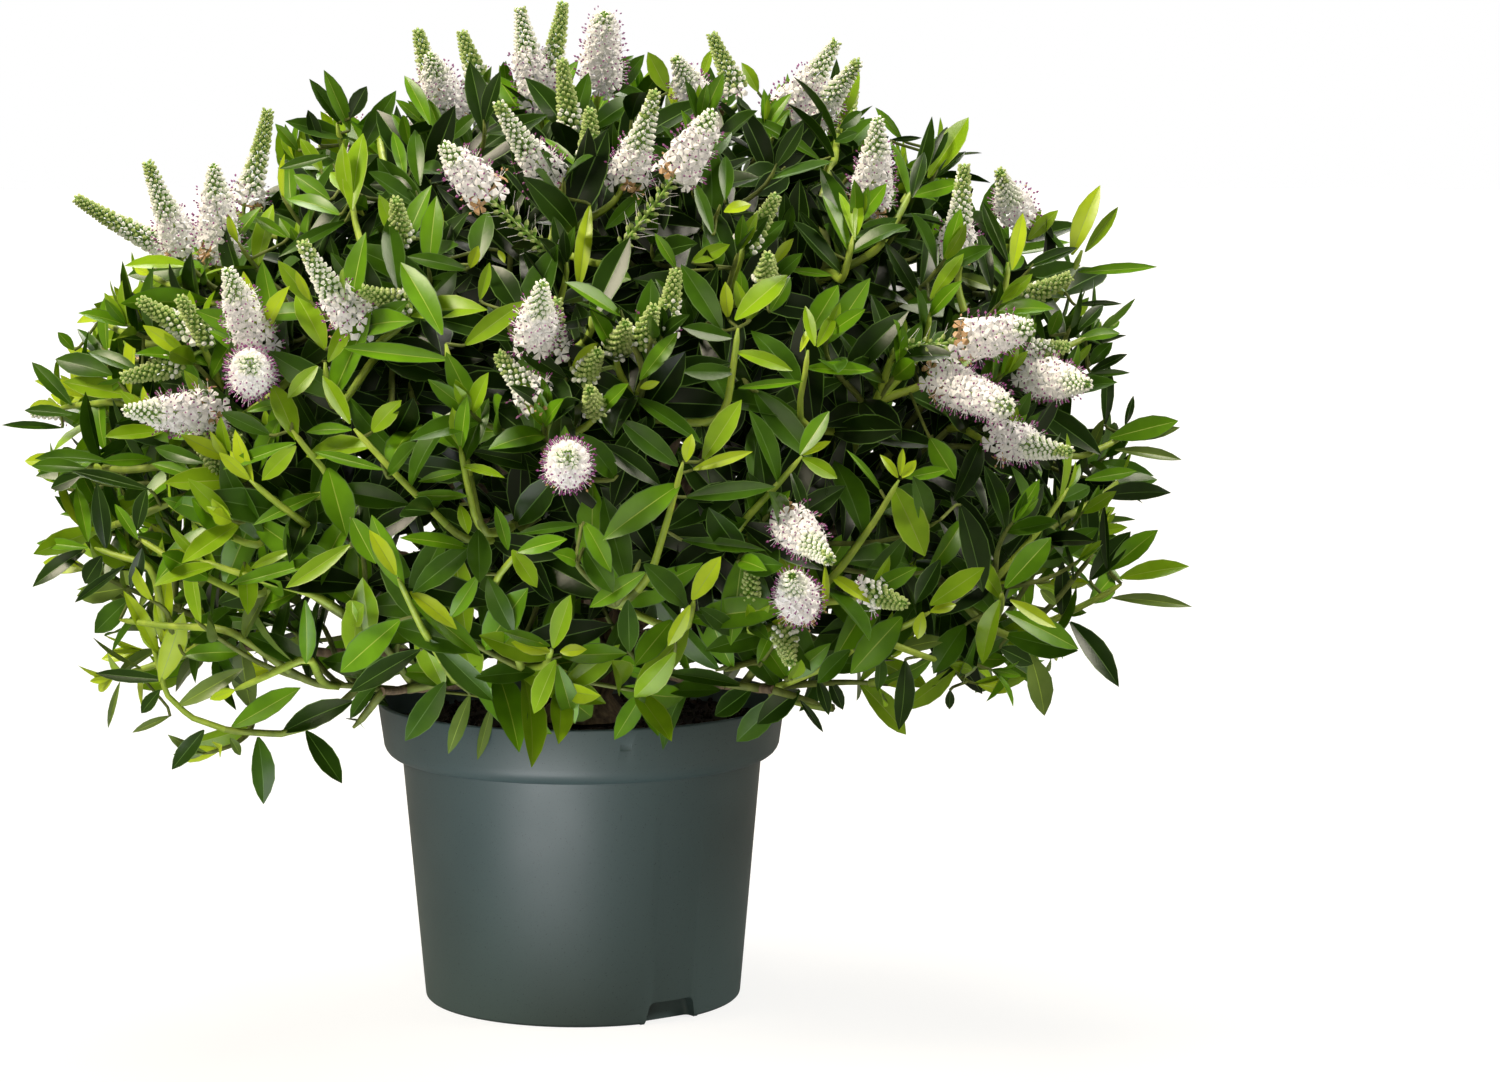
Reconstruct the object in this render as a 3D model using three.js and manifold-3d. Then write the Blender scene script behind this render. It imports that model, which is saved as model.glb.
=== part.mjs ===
// Hebe in its pot: a broad, low evergreen shrub in flower, in a round grower's pot with a deep collar.
// Millimetres, +Z up. The origin is the middle of the pot's flat underside; -Y is the front, +X the right.
// A short stool carries the boughs, and each bough carries one mass of leafy, flowering shoots.

import * as THREE from "three";
import { mergeVertices } from "three/addons/utils/BufferGeometryUtils.js";
import Module from "manifold-3d";

const wasm = await Module();
wasm.setup();

// ---- Driving dimensions ----

const clear = 0.3; // between two pieces that meet

const pot = {
  height: 170,
  rimRadius: 115,
  collarFootRadius: 112,
  collarRounding: 9.5, // the collar's lower edge curves in to the body
  collarFootHeight: 138,
  bodyTopRadius: 101.5,
  footRadius: 89.5,
  edge: 2, // bevel round the foot and the rim
  wall: 2.5,
  floor: 3,
  sides: 32,
};

// Drainage notches in the foot of the pot, each a pocket with its own inner wall.
const notch = { count: 2, turn: 33, width: 34, topWidth: 28, height: 12, depth: 9, wall: 2 };

const soil = { edgeHeight: 155, crownHeight: 158 };

const trunk = {
  sides: 16,
  flareRadius: 27,
  flareHeight: 6,
  waistRadius: 16,
  waistHeight: 13,
  headRadius: 22,
  headHeight: 34, // middle of the rounded head above the soil
  lean: 3, // the head stands this far to the right of the foot
};

// The crown is a flattened round, squarer than an ellipsoid, whose surface is where leaf tips reach.
const crown = {
  middle: new THREE.Vector3(4, 0, 300),
  side: 325,
  depth: 308,
  up: 242,
  downFront: 145, // it hangs lower at the sides than at the front and back,
  downSide: 195,
  leftSag: 18, // and lowest on the left
  squareness: 2.35,
};

// Rings of foliage masses. Turns are degrees round from the front towards the right.
const rings = [
  {
    count: 1, firstTurn: 0, heartRadius: 0, heartHeight: 480, headRise: 90,
    boughRadius: 0, boughHeight: 345, boughRise: 90, boughThickness: 4.6,
  },
  {
    count: 5, firstTurn: 36, heartRadius: 190, heartHeight: 430, headRise: 62,
    boughRadius: 95, boughHeight: 335, boughRise: 58, boughThickness: 4.6,
  },
  {
    count: 7, firstTurn: 0, heartRadius: 250, heartHeight: 315, headRise: 34,
    boughRadius: 140, boughHeight: 262, boughRise: 25, boughThickness: 4.6,
  },
  {
    count: 6, firstTurn: 30, heartRadius: 235, heartHeight: 195, headRise: 6,
    boughRadius: 142, boughHeight: 196, boughRise: 4, boughThickness: 4.4,
  },
];

const bough = { sides: 4, steps: 4, tipShare: 0.78, sway: 10 };

const shoot = {
  count: 78,
  lowest: -0.74, // height of the lowest tip, as a share of the crown's lower half
  inset: 46, // from a shoot's tip to the crown's surface
  jitter: 9,
  stemLength: 56, // the mass's stem, from which its shoots branch
  stemRadius: 3.3,
  branchFrom: 0.3, // first branching place along that stem
  startRadius: 2.4,
  endRadius: 2.1,
  sides: 3,
  steps: 2,
  lift: 0.7, // how far a shoot turns upwards at its end
};

const leaf = {
  lengths: [60, 86, 96], // larger than life, from the tip's pair down
  spreads: [27, 50, 68], // degrees from the shoot
  pairGaps: [3, 24, 30],
  widthShare: 0.37,
  widestAt: 0.42,
  thickness: 2.4,
  free: 0.16, // share of a leaf, at its root, that may touch its neighbours
  tries: [
    { size: 1, turn: 0 }, { size: 1, turn: 28 }, { size: 1, turn: -28 }, { size: 0.85, turn: 0 },
    { size: 0.85, turn: 45 }, { size: 0.85, turn: -45 }, { size: 0.68, turn: 0 },
  ],
};

const raceme = {
  sides: 5,
  length: 84, // with its stalk
  lengthSpread: 10,
  widestAt: 0.36,
  taperFrom: 0.72,
  budRadius: 7.5,
  bloomRadius: 14,
  below: 16, // it leaves the shoot this far under its tip
  lean: 30, // degrees from the cluster's axis
  sink: 1.5,
};

// Flowering shoots seen on the front and sides: turn and rise from the crown's middle in degrees,
// number of racemes, and how far they are out, from 0 in bud to 1 in full bloom.
const floweringShoots = [
  [-53, 62, 3, 0.5], [-120, 80, 2, 0.8], [-178, 84, 2, 1], [-2, 43, 4, 0.6], [99, 74, 2, 0.4],
  [70, 61, 3, 0.7], [42, 34, 1, 1], [51, 27, 2, 0.4], [20, 30, 2, 0.1], [58, 21, 3, 0.2],
  [-67, 28, 2, 0.3], [-54, 30, 2, 0.8], [-41, 19, 1, 1], [-29, 22, 3, 0.4], [-54, 16, 3, 0.3],
  [-58, 8, 2, 0.7], [-42, 5, 2, 0.2], [-8, 21, 2, 0.6], [-5, 10, 1, 1], [7, 19, 3, 0.2],
  [39, 15, 2, 1], [56, 13, 3, 0.7], [20, 0, 2, 0.4], [27, -9, 1, 0.2],
];
// On the back every fourth shoot above this rise flowers.
const backFlowering = { fromTurn: 75, rise: 5, every: 4, racemes: 2 };

// Shoots that trail out low over the rim: turn, distance from the pot's axis and height of the tip.
const trailingShoots = [[-62, 225, 158], [-38, 205, 176], [52, 232, 172], [-128, 240, 165], [132, 240, 168]];

const leafFrom = soil.crownHeight + 4; // leaves and twigs keep above the soil
const spaceMargin = 0.6; // from a mass's shoots to the sides of its space
const limbMargin = 1.2; // from leaves to limbs

// ---- Helpers ----

const degrees = Math.PI / 180;
const goldenTurn = 137.508;
const upward = new THREE.Vector3(0, 0, 1);

// A unit vector from a turn round the plant and a rise above level.
function heading(turn, rise) {
  const level = Math.cos(rise * degrees);
  const across = Math.sin(turn * degrees) * level;
  return new THREE.Vector3(across, -Math.cos(turn * degrees) * level, Math.sin(rise * degrees));
}

function around(turn, radius, height) {
  return heading(turn, 0).multiplyScalar(radius).setZ(height);
}

// Each shoot draws its own numbers, so that no shoot depends on what another one skipped.
function seededDraw(seed) {
  let state = (seed * 7919 + 12345) >>> 0;
  return () => {
    state = (Math.imul(state, 1664525) + 1013904223) >>> 0;
    return state / 4294967296;
  };
}

function toSolid(geometry) {
  const bare = geometry.clone();
  bare.deleteAttribute("normal");
  bare.deleteAttribute("uv");
  const merged = mergeVertices(bare, 1e-4);
  const mesh = new wasm.Mesh({
    numProp: 3,
    vertProperties: merged.getAttribute("position").array,
    triVerts: new Uint32Array(merged.index.array),
  });
  return new wasm.Manifold(mesh);
}

function toGeometry(solid) {
  const mesh = solid.getMesh();
  const geometry = new THREE.BufferGeometry();
  geometry.setAttribute("position", new THREE.BufferAttribute(mesh.vertProperties, 3));
  geometry.setIndex(new THREE.BufferAttribute(mesh.triVerts, 1));
  geometry.computeVertexNormals();
  return geometry;
}

// A lathe turned about +Z from points of radius and height.
function turned(points, sides) {
  return new THREE.LatheGeometry(points, sides).rotateX(Math.PI / 2);
}

// A tapering limb with flat ends, bent along a curve.
function limbGeometry(curve, startRadius, endRadius, sides, steps) {
  const geometry = new THREE.CylinderGeometry(endRadius, startRadius, 1, sides, steps);
  const frames = curve.computeFrenetFrames(steps, false);
  const position = geometry.getAttribute("position");
  for (let i = 0; i < position.count; i += 1) {
    const along = position.getY(i) + 0.5;
    const station = Math.round(along * steps);
    const point = curve.getPointAt(along);
    point.addScaledVector(frames.normals[station], position.getX(i));
    point.addScaledVector(frames.binormals[station], -position.getZ(i));
    position.setXYZ(i, point.x, point.y, point.z);
  }
  return geometry;
}

// A curve reduced to straight runs, so that what is rooted on it sits on the faceted limb.
function straightRuns(curve, steps) {
  const points = curve.getSpacedPoints(steps);
  const path = new THREE.CurvePath();
  for (let i = 0; i < steps; i += 1) path.add(new THREE.LineCurve3(points[i], points[i + 1]));
  return path;
}

// ---- Pot and soil ----

// Inner side of the pot's wall from the rim down to the middle of the floor, set in by a gap.
function innerProfile(path, gap) {
  const inset = pot.wall + gap;
  const rounding = pot.collarRounding - inset;
  const arcHeight = pot.collarFootHeight + pot.collarRounding;
  path.lineTo(pot.collarFootRadius - inset, arcHeight);
  path.absarc(pot.collarFootRadius - pot.collarRounding, arcHeight, rounding, 0, -Math.PI / 2, true);
  path.lineTo(pot.bodyTopRadius - inset, pot.collarFootHeight + inset);
  path.lineTo(pot.footRadius - inset, pot.floor + gap);
  path.lineTo(0, pot.floor + gap);
}

function notchSolid(turn, grow) {
  const shape = new THREE.Shape();
  const half = notch.width / 2 + grow;
  const topHalf = notch.topWidth / 2 + grow;
  const top = notch.height + grow;
  shape.moveTo(-half, -1).lineTo(half, -1).lineTo(topHalf, top).lineTo(-topHalf, top);
  const depth = notch.depth + grow;
  const prism = new THREE.ExtrudeGeometry(shape, { depth: depth + pot.wall, bevelEnabled: false });
  prism.rotateX(Math.PI / 2).translate(0, depth - pot.footRadius, 0).rotateZ(turn * degrees);
  return toSolid(prism);
}

function notchTurns() {
  return Array.from({ length: notch.count }, (_, i) => notch.turn + (i * 360) / notch.count);
}

function potGeometry() {
  const path = new THREE.Path();
  const arcHeight = pot.collarFootHeight + pot.collarRounding;
  const arcMiddle = pot.collarFootRadius - pot.collarRounding;
  path.moveTo(0, 0);
  path.lineTo(pot.footRadius - pot.edge, 0);
  path.lineTo(pot.footRadius, pot.edge);
  path.lineTo(pot.bodyTopRadius, pot.collarFootHeight);
  path.absarc(arcMiddle, arcHeight, pot.collarRounding, -Math.PI / 2, 0, false);
  path.lineTo(pot.rimRadius, pot.height - pot.edge / 2);
  path.lineTo(pot.rimRadius - pot.edge / 2, pot.height);
  path.lineTo(pot.rimRadius - pot.wall, pot.height);
  innerProfile(path, 0);
  let body = toSolid(turned(path.getPoints(1), pot.sides));
  const within = pot.footRadius - 1;
  const inside = new THREE.CylinderGeometry(within, within, notch.height * 2, pot.sides);
  const withinWall = toSolid(inside.rotateX(Math.PI / 2).translate(0, 0, notch.height));
  for (const turn of notchTurns()) {
    const pocketWall = notchSolid(turn, notch.wall).intersect(withinWall);
    body = body.add(pocketWall).subtract(notchSolid(turn, 0));
  }
  return toGeometry(body);
}

function soilGeometry() {
  const path = new THREE.Path();
  const arcHeight = pot.collarFootHeight + pot.collarRounding;
  const slope = (pot.rimRadius - pot.collarFootRadius) / (pot.height - arcHeight);
  const edgeRadius = pot.collarFootRadius - pot.wall - clear + slope * (soil.edgeHeight - arcHeight);
  path.moveTo(0, soil.crownHeight);
  path.lineTo(trunk.flareRadius * 1.5, soil.crownHeight);
  path.lineTo(edgeRadius, soil.edgeHeight);
  innerProfile(path, clear);
  const outline = path.getPoints(1).reverse();
  let body = toSolid(turned(outline, pot.sides));
  for (const turn of notchTurns()) {
    body = body.subtract(notchSolid(turn, notch.wall + clear));
  }
  return toGeometry(body);
}

// ---- Trunk and boughs ----

const trunkFoot = soil.crownHeight + clear;
const headMiddle = new THREE.Vector3(trunk.lean, 0, trunkFoot + trunk.headHeight);

function trunkGeometry() {
  const path = new THREE.Path();
  path.moveTo(0, 0);
  path.lineTo(trunk.flareRadius, 0);
  path.lineTo((trunk.flareRadius + trunk.waistRadius) / 2, trunk.flareHeight);
  path.lineTo(trunk.waistRadius, trunk.waistHeight);
  path.absarc(0, trunk.headHeight, trunk.headRadius, -Math.PI / 6, Math.PI / 2, false);
  const geometry = turned(path.getPoints(3), trunk.sides).translate(0, 0, trunkFoot);
  const position = geometry.getAttribute("position");
  for (let i = 0; i < position.count; i += 1) {
    const share = (position.getZ(i) - trunkFoot) / trunk.headHeight;
    position.setX(i, position.getX(i) + trunk.lean * Math.min(share, 1));
  }
  return geometry;
}

// One entry for each mass: the heart of its space, and the bough that carries it.
function layOutMasses() {
  const masses = [];
  for (const ring of rings) {
    for (let i = 0; i < ring.count; i += 1) {
      const turn = ring.firstTurn + (i * 360) / ring.count;
      const draw = seededDraw(500 + masses.length);
      const start = heading(turn, ring.headRise).multiplyScalar(trunk.headRadius + clear).add(headMiddle);
      const end = around(turn, ring.boughRadius, ring.boughHeight);
      const endHeading = heading(turn, ring.boughRise);
      const reach = start.distanceTo(end) * 0.36;
      const sway = heading(turn + 90, 0).multiplyScalar((draw() - 0.5) * 2 * bough.sway);
      const rise = start.clone().addScaledVector(heading(turn, ring.headRise), reach);
      const arrive = end.clone().addScaledVector(endHeading, -reach);
      const curve = new THREE.CubicBezierCurve3(start, rise, arrive.add(sway), end);
      masses.push({
        heart: around(turn, ring.heartRadius, ring.heartHeight),
        curve,
        endHeading: curve.getTangentAt(1),
        startRadius: ring.boughThickness,
        endRadius: ring.boughThickness * bough.tipShare,
        shoots: [],
      });
    }
  }
  return masses;
}

const masses = layOutMasses();

// Straight pieces of every limb that leaves must keep clear of.
function limbPieces() {
  const pieces = [{ line: new THREE.Line3(around(0, 0, trunkFoot), headMiddle), radius: trunk.flareRadius }];
  for (const mass of masses) {
    const points = mass.curve.getSpacedPoints(bough.steps);
    for (let i = 0; i < bough.steps; i += 1) {
      pieces.push({ line: new THREE.Line3(points[i], points[i + 1]), radius: mass.startRadius });
    }
  }
  return pieces;
}

const limbs = limbPieces();

// ---- The space of each mass ----

function inSpace(point, mass, margin) {
  for (const other of masses) {
    if (other === mass) continue;
    const apart = new THREE.Vector3().subVectors(mass.heart, other.heart);
    const half = new THREE.Vector3().addVectors(mass.heart, other.heart).multiplyScalar(0.5);
    const depth = new THREE.Vector3().subVectors(point, half).dot(apart) / apart.length();
    if (depth < margin) return false;
  }
  return true;
}

function clearOfPot(point) {
  const radius = Math.hypot(point.x, point.y);
  const rimGap = 2.5;
  if (radius > pot.rimRadius + rimGap) return true;
  return radius > pot.rimRadius - pot.wall - rimGap ? point.z > pot.height + rimGap : point.z > leafFrom;
}

// True if a straight line keeps to its mass's space, above the pot and away from the limbs.
function lineFits(from, to, mass, radius) {
  const checks = 8;
  for (let i = 0; i <= checks; i += 1) {
    if (!clearOfPot(new THREE.Vector3().lerpVectors(from, to, i / checks))) return false;
  }
  if (!inSpace(from, mass, spaceMargin + radius) || !inSpace(to, mass, spaceMargin + radius)) return false;
  const line = new THREE.Line3(from, to);
  return limbs.every((limb) => {
    const least = limb.radius + radius + limbMargin;
    return line.distanceSqToLine3(limb.line) > least * least;
  });
}

// ---- Shoots ----

// Distance from the crown's middle to its surface in a direction.
function crownReach(direction) {
  const across = direction.x ** 2;
  const sideShare = across / (across + direction.y ** 2 + 1e-9);
  const left = direction.x < 0 ? crown.leftSag * sideShare : 0;
  const down = crown.downFront + (crown.downSide - crown.downFront) * sideShare + left;
  const level = Math.hypot(direction.x / crown.side, direction.y / crown.depth);
  const tall = Math.abs(direction.z) / (direction.z > 0 ? crown.up : down);
  return (level ** crown.squareness + tall ** crown.squareness) ** (-1 / crown.squareness);
}

// Shoot tips spread evenly over the crown in a spiral; flowering places take over the nearest ones.
function layOutShoots() {
  const shoots = [];
  for (let i = 0; i < shoot.count; i += 1) {
    const height = 1 - ((i + 0.5) / shoot.count) * (1 - shoot.lowest);
    const level = Math.sqrt(1 - height * height);
    const turn = i * goldenTurn;
    const squashed = heading(turn, 0).multiplyScalar(level);
    squashed.multiply(new THREE.Vector3(crown.side, crown.depth, 1));
    squashed.z = height * (height > 0 ? crown.up : crown.downSide);
    shoots.push({ index: i, direction: squashed.normalize(), racemes: 0, bloom: 0 });
  }
  for (const [turn, rise, racemes, bloom] of floweringShoots) {
    const direction = heading(turn, rise);
    const free = shoots.filter((other) => other.racemes === 0);
    free.sort((a, b) => b.direction.dot(direction) - a.direction.dot(direction));
    Object.assign(free[0], { direction, racemes, bloom });
  }
  for (const [turn, radius, height] of trailingShoots) {
    const direction = around(turn, radius, height).sub(crown.middle).normalize();
    shoots.push({ index: shoots.length, direction, racemes: 0, bloom: 0, tip: around(turn, radius, height) });
  }
  for (const [i, each] of shoots.entries()) {
    const turn = Math.abs(Math.atan2(each.direction.x, -each.direction.y) / degrees);
    const rise = Math.asin(each.direction.z) / degrees;
    const onBack = turn > backFlowering.fromTurn && rise > backFlowering.rise;
    if (each.racemes === 0 && onBack && i % backFlowering.every === 0) {
      each.racemes = backFlowering.racemes;
      each.bloom = seededDraw(900 + i)();
    }
  }
  return shoots;
}

// Moves a point in from the sides of its mass's space.
function drawnIn(point, mass, margin) {
  for (const other of masses) {
    if (other === mass) continue;
    const apart = new THREE.Vector3().subVectors(mass.heart, other.heart).normalize();
    const half = new THREE.Vector3().addVectors(mass.heart, other.heart).multiplyScalar(0.5);
    const depth = new THREE.Vector3().subVectors(point, half).dot(apart);
    if (depth < margin) point.addScaledVector(apart, margin - depth);
  }
  return point;
}

function nearestMass(point) {
  const apart = (mass) => point.distanceTo(mass.heart);
  return masses.reduce((best, mass) => (apart(mass) < apart(best) ? mass : best));
}

for (const each of layOutShoots()) {
  const draw = seededDraw(each.index);
  const reach = crownReach(each.direction) - shoot.inset + (draw() - 0.5) * 2 * shoot.jitter;
  const tip = each.tip ?? each.direction.clone().multiplyScalar(reach).add(crown.middle);
  const mass = nearestMass(tip);
  const lift = each.direction.z < -0.2 ? shoot.lift * 0.6 : shoot.lift;
  const endHeading = each.direction.clone().addScaledVector(upward, lift).normalize();
  mass.shoots.push({ ...each, draw, tip: drawnIn(tip, mass, 8), endHeading });
}

// The stem of a mass carries on from its bough's tip.
function stemCurve(mass) {
  const start = mass.curve.getPointAt(1).addScaledVector(mass.endHeading, clear);
  const end = start.clone().addScaledVector(mass.endHeading, shoot.stemLength);
  return new THREE.LineCurve3(start, end);
}

// A shoot bends from its branching place to its tip, and is straightened if it would leave the space.
function shootCurve(each, from, mass) {
  const length = from.distanceTo(each.tip);
  const out = from.clone().lerp(each.tip, 0.35);
  const straight = from.clone().lerp(each.tip, 0.65);
  const bent = each.tip.clone().addScaledVector(each.endHeading, -length * 0.4);
  for (const ease of [0, 0.35, 0.7, 1]) {
    const handle = bent.clone().lerp(straight, ease);
    if (lineFits(handle, each.tip, mass, shoot.startRadius)) {
      return new THREE.CubicBezierCurve3(from, out, handle, each.tip);
    }
  }
  return null;
}

// An eight-faced leaf, from a root to a tip along a direction, with its upper side facing a given way.
function leafBlade(root, direction, face, length) {
  const side = new THREE.Vector3().crossVectors(direction, face);
  const blade = new THREE.OctahedronGeometry(1, 0);
  const position = blade.getAttribute("position");
  for (let i = 0; i < position.count; i += 1) {
    if (Math.abs(position.getY(i)) < 0.5) position.setY(i, leaf.widestAt * 2 - 1);
  }
  blade.scale((length * leaf.widthShare) / 2, length / 2, leaf.thickness / 2).translate(0, length / 2, 0);
  const place = new THREE.Matrix4().makeBasis(side, direction, face).setPosition(root);
  return toSolid(blade.applyMatrix4(place));
}

// True if the leaf is rooted in its twig, keeps to its mass's space and crosses nothing beyond its root.
function leafFits(root, direction, face, length, blade, mass) {
  const side = new THREE.Vector3().crossVectors(direction, face);
  const middle = root.clone().addScaledVector(direction, length * leaf.widestAt);
  const tip = root.clone().addScaledVector(direction, length);
  const from = root.clone().addScaledVector(direction, length * leaf.free);
  for (const share of [-1, -0.5, 0, 0.5, 1]) {
    const across = middle.clone().addScaledVector(side, (length * leaf.widthShare * share) / 2);
    if (!lineFits(from, across, mass, leaf.thickness / 2)) return false;
    if (!lineFits(across, tip, mass, leaf.thickness / 2)) return false;
  }
  const outer = leafBlade(from, direction, face, length * (1 - leaf.free));
  return mass.solid.intersect(outer).isEmpty() && !mass.solid.intersect(blade).isEmpty();
}

// A leaf that doesn't fit is tried turned, shorter and closer to the shoot, and then left out.
function addLeaf(root, along, aside, turn, spread, length, mass) {
  for (const attempt of leaf.tries) {
    const outward = aside.clone().applyAxisAngle(along, (turn + attempt.turn) * degrees);
    const angle = spread * attempt.size * degrees;
    const direction = along.clone().multiplyScalar(Math.cos(angle)).addScaledVector(outward, Math.sin(angle));
    const face = along.clone().addScaledVector(direction, -along.dot(direction)).normalize();
    const size = length * attempt.size;
    const blade = leafBlade(root, direction, face, size);
    if (leafFits(root, direction, face, size, blade, mass)) {
      mass.solid = mass.solid.add(blade);
      return;
    }
  }
}

function addLeafPair(each, pair, mass) {
  const length = each.path.getLength();
  const back = leaf.pairGaps.slice(0, pair + 1).reduce((sum, gap) => sum + gap);
  const share = Math.max(1 - back / length, 0.2);
  const root = each.path.getPointAt(share);
  const along = each.path.getTangentAt(share);
  const aside = new THREE.Vector3().crossVectors(along, upward).normalize();
  for (const opposite of [0, 180]) {
    const turn = each.firstTurn + pair * 90 + opposite + (each.draw() - 0.5) * 24;
    const size = leaf.lengths[pair] * (0.9 + 0.2 * each.draw());
    addLeaf(root, along, aside, turn, leaf.spreads[pair], size, mass);
  }
}

// A raceme: a spindle that swells where florets are open and tapers through its buds.
function addRaceme(root, direction, length, bloom, mass) {
  const widest = raceme.budRadius + (raceme.bloomRadius - raceme.budRadius) * bloom;
  const from = root.clone().addScaledVector(direction, length * raceme.widestAt);
  const tip = root.clone().addScaledVector(direction, length);
  if (!lineFits(from, tip, mass, widest)) return false;
  const points = [
    new THREE.Vector2(0, -raceme.sink),
    new THREE.Vector2(widest, length * raceme.widestAt),
    new THREE.Vector2(raceme.budRadius * 0.9, length * raceme.taperFrom),
    new THREE.Vector2(0, length),
  ];
  const turnUp = new THREE.Quaternion().setFromUnitVectors(upward, direction);
  const spindle = turned(points, raceme.sides).applyQuaternion(turnUp).translate(...root);
  mass.solid = mass.solid.add(toSolid(spindle));
  return true;
}

function addRacemes(each, mass) {
  const share = 1 - raceme.below / each.path.getLength();
  const root = each.path.getPointAt(share);
  const axis = each.direction.clone().addScaledVector(each.path.getTangentAt(share), 0.5).normalize();
  const aside = new THREE.Vector3().crossVectors(axis, upward).normalize();
  const firstTurn = each.draw() * 360;
  for (let i = 0; i < each.racemes; i += 1) {
    const turn = firstTurn + (i * 360) / each.racemes;
    const outward = aside.clone().applyAxisAngle(axis, turn * degrees);
    const lean = (each.racemes === 1 ? 0.3 : 1) * raceme.lean * degrees;
    const direction = axis.clone().multiplyScalar(Math.cos(lean)).addScaledVector(outward, Math.sin(lean));
    const length = raceme.length + (each.draw() - 0.5) * 2 * raceme.lengthSpread;
    for (const shorter of [1, 0.8]) {
      if (addRaceme(root, direction, length * shorter, each.bloom, mass)) break;
    }
  }
}

// Stem and shoots first, then racemes, then leaves from the tips' pairs down.
function massGeometry(mass) {
  const stem = stemCurve(mass);
  mass.solid = toSolid(limbGeometry(stem, mass.endRadius, shoot.stemRadius, bough.sides, 1));
  const grown = [];
  for (const [i, each] of mass.shoots.entries()) {
    const share = (i + 1) / mass.shoots.length;
    const from = stem.getPointAt(shoot.branchFrom + (0.97 - shoot.branchFrom) * share);
    const curve = shootCurve(each, from, mass);
    if (!curve) continue;
    const path = straightRuns(curve, shoot.steps);
    const twig = limbGeometry(path, shoot.startRadius, shoot.endRadius, shoot.sides, shoot.steps);
    mass.solid = mass.solid.add(toSolid(twig));
    grown.push({ ...each, path, firstTurn: each.draw() * 180 });
  }
  for (const each of grown) {
    if (each.racemes > 0) addRacemes(each, mass);
  }
  for (let pair = 0; pair < leaf.lengths.length; pair += 1) {
    for (const each of grown) addLeafPair(each, pair, mass);
  }
  return toGeometry(mass.solid);
}

// ---- Assembly ----

const finishes = {
  pot: new THREE.MeshStandardMaterial({ color: 0x4b5757, roughness: 0.5, metalness: 0 }),
  soil: new THREE.MeshStandardMaterial({ color: 0x2a211b, roughness: 0.95, metalness: 0 }),
  bark: new THREE.MeshStandardMaterial({ color: 0x6b5a3e, roughness: 0.85, metalness: 0 }),
  foliage: new THREE.MeshStandardMaterial({ color: 0x4a7a24, roughness: 0.45, metalness: 0 }),
};

const hebe = new THREE.Group();

function place(name, geometry, finish) {
  const mesh = new THREE.Mesh(geometry, finish.clone());
  mesh.name = name;
  hebe.add(mesh);
}

place("pot", potGeometry(), finishes.pot);
place("soil", soilGeometry(), finishes.soil);
place("trunk", trunkGeometry(), finishes.bark);
for (const [i, mass] of masses.entries()) {
  const number = String(i + 1).padStart(2, "0");
  const limb = limbGeometry(mass.curve, mass.startRadius, mass.endRadius, bough.sides, bough.steps);
  place(`bough_${number}`, limb, finishes.bark);
  place(`foliage_${number}`, massGeometry(mass), finishes.foliage);
}

export default hebe;
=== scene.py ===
from math import asin, atan2, cos, degrees, hypot, pi, radians, sin, sqrt

import bpy
import numpy as np
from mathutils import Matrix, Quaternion, Vector


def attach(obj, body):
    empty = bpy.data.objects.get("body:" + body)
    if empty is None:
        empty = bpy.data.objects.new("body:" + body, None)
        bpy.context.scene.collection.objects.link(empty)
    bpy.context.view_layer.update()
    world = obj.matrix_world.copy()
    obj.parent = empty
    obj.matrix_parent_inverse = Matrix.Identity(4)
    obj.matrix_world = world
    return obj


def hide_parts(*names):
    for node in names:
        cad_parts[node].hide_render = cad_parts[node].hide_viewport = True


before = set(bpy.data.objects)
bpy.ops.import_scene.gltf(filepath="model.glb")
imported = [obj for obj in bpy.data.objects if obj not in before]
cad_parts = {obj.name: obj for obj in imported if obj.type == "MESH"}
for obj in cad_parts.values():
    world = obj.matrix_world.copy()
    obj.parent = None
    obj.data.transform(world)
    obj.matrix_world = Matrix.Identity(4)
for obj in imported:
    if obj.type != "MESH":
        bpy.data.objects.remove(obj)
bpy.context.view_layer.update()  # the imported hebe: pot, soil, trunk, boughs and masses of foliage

# Lengths are metres, -Y is the plant's front and +X its right. A turn is in degrees from the front
# towards the right, and a rise in degrees above level.
upward = Vector((0, 0, 1))
goldenTurn = 137.508
fullTurn = 6.28  # radians
touching = 1e-5  # heights that differ by less are the same
weldWithin = 1e-6
cadNodes = sorted(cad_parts)


def reportStage(stage):
    print("stage done:", stage)


def deselectAll():
    if bpy.context.mode != "OBJECT":
        bpy.ops.object.mode_set(mode="OBJECT")
    bpy.ops.object.select_all(action="DESELECT")


def editFaces(select):
    # edit mode, with all faces selected or none
    bpy.ops.object.mode_set(mode="EDIT")
    bpy.ops.mesh.select_mode(type="FACE")
    bpy.ops.mesh.select_all(action=select)


def leaveEdit():
    bpy.ops.object.mode_set(mode="OBJECT")


def makeActive(piece):
    deselectAll()
    piece.select_set(True)
    bpy.context.view_layer.objects.active = piece


def applyModifier(piece, kind, **values):
    makeActive(piece)
    modifier = piece.modifiers.new(kind.lower(), kind)
    for name, value in values.items():
        setattr(modifier, name, value)
    bpy.ops.object.modifier_apply(modifier=modifier.name)


def applyPlace(piece):
    makeActive(piece)
    bpy.ops.object.transform_apply(location=True, rotation=True, scale=True)


def joinPieces(pieces, name):
    deselectAll()
    for piece in pieces:
        piece.select_set(True)
    bpy.context.view_layer.objects.active = pieces[0]
    bpy.ops.object.join()
    pieces[0].name = name
    return pieces[0]


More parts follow.
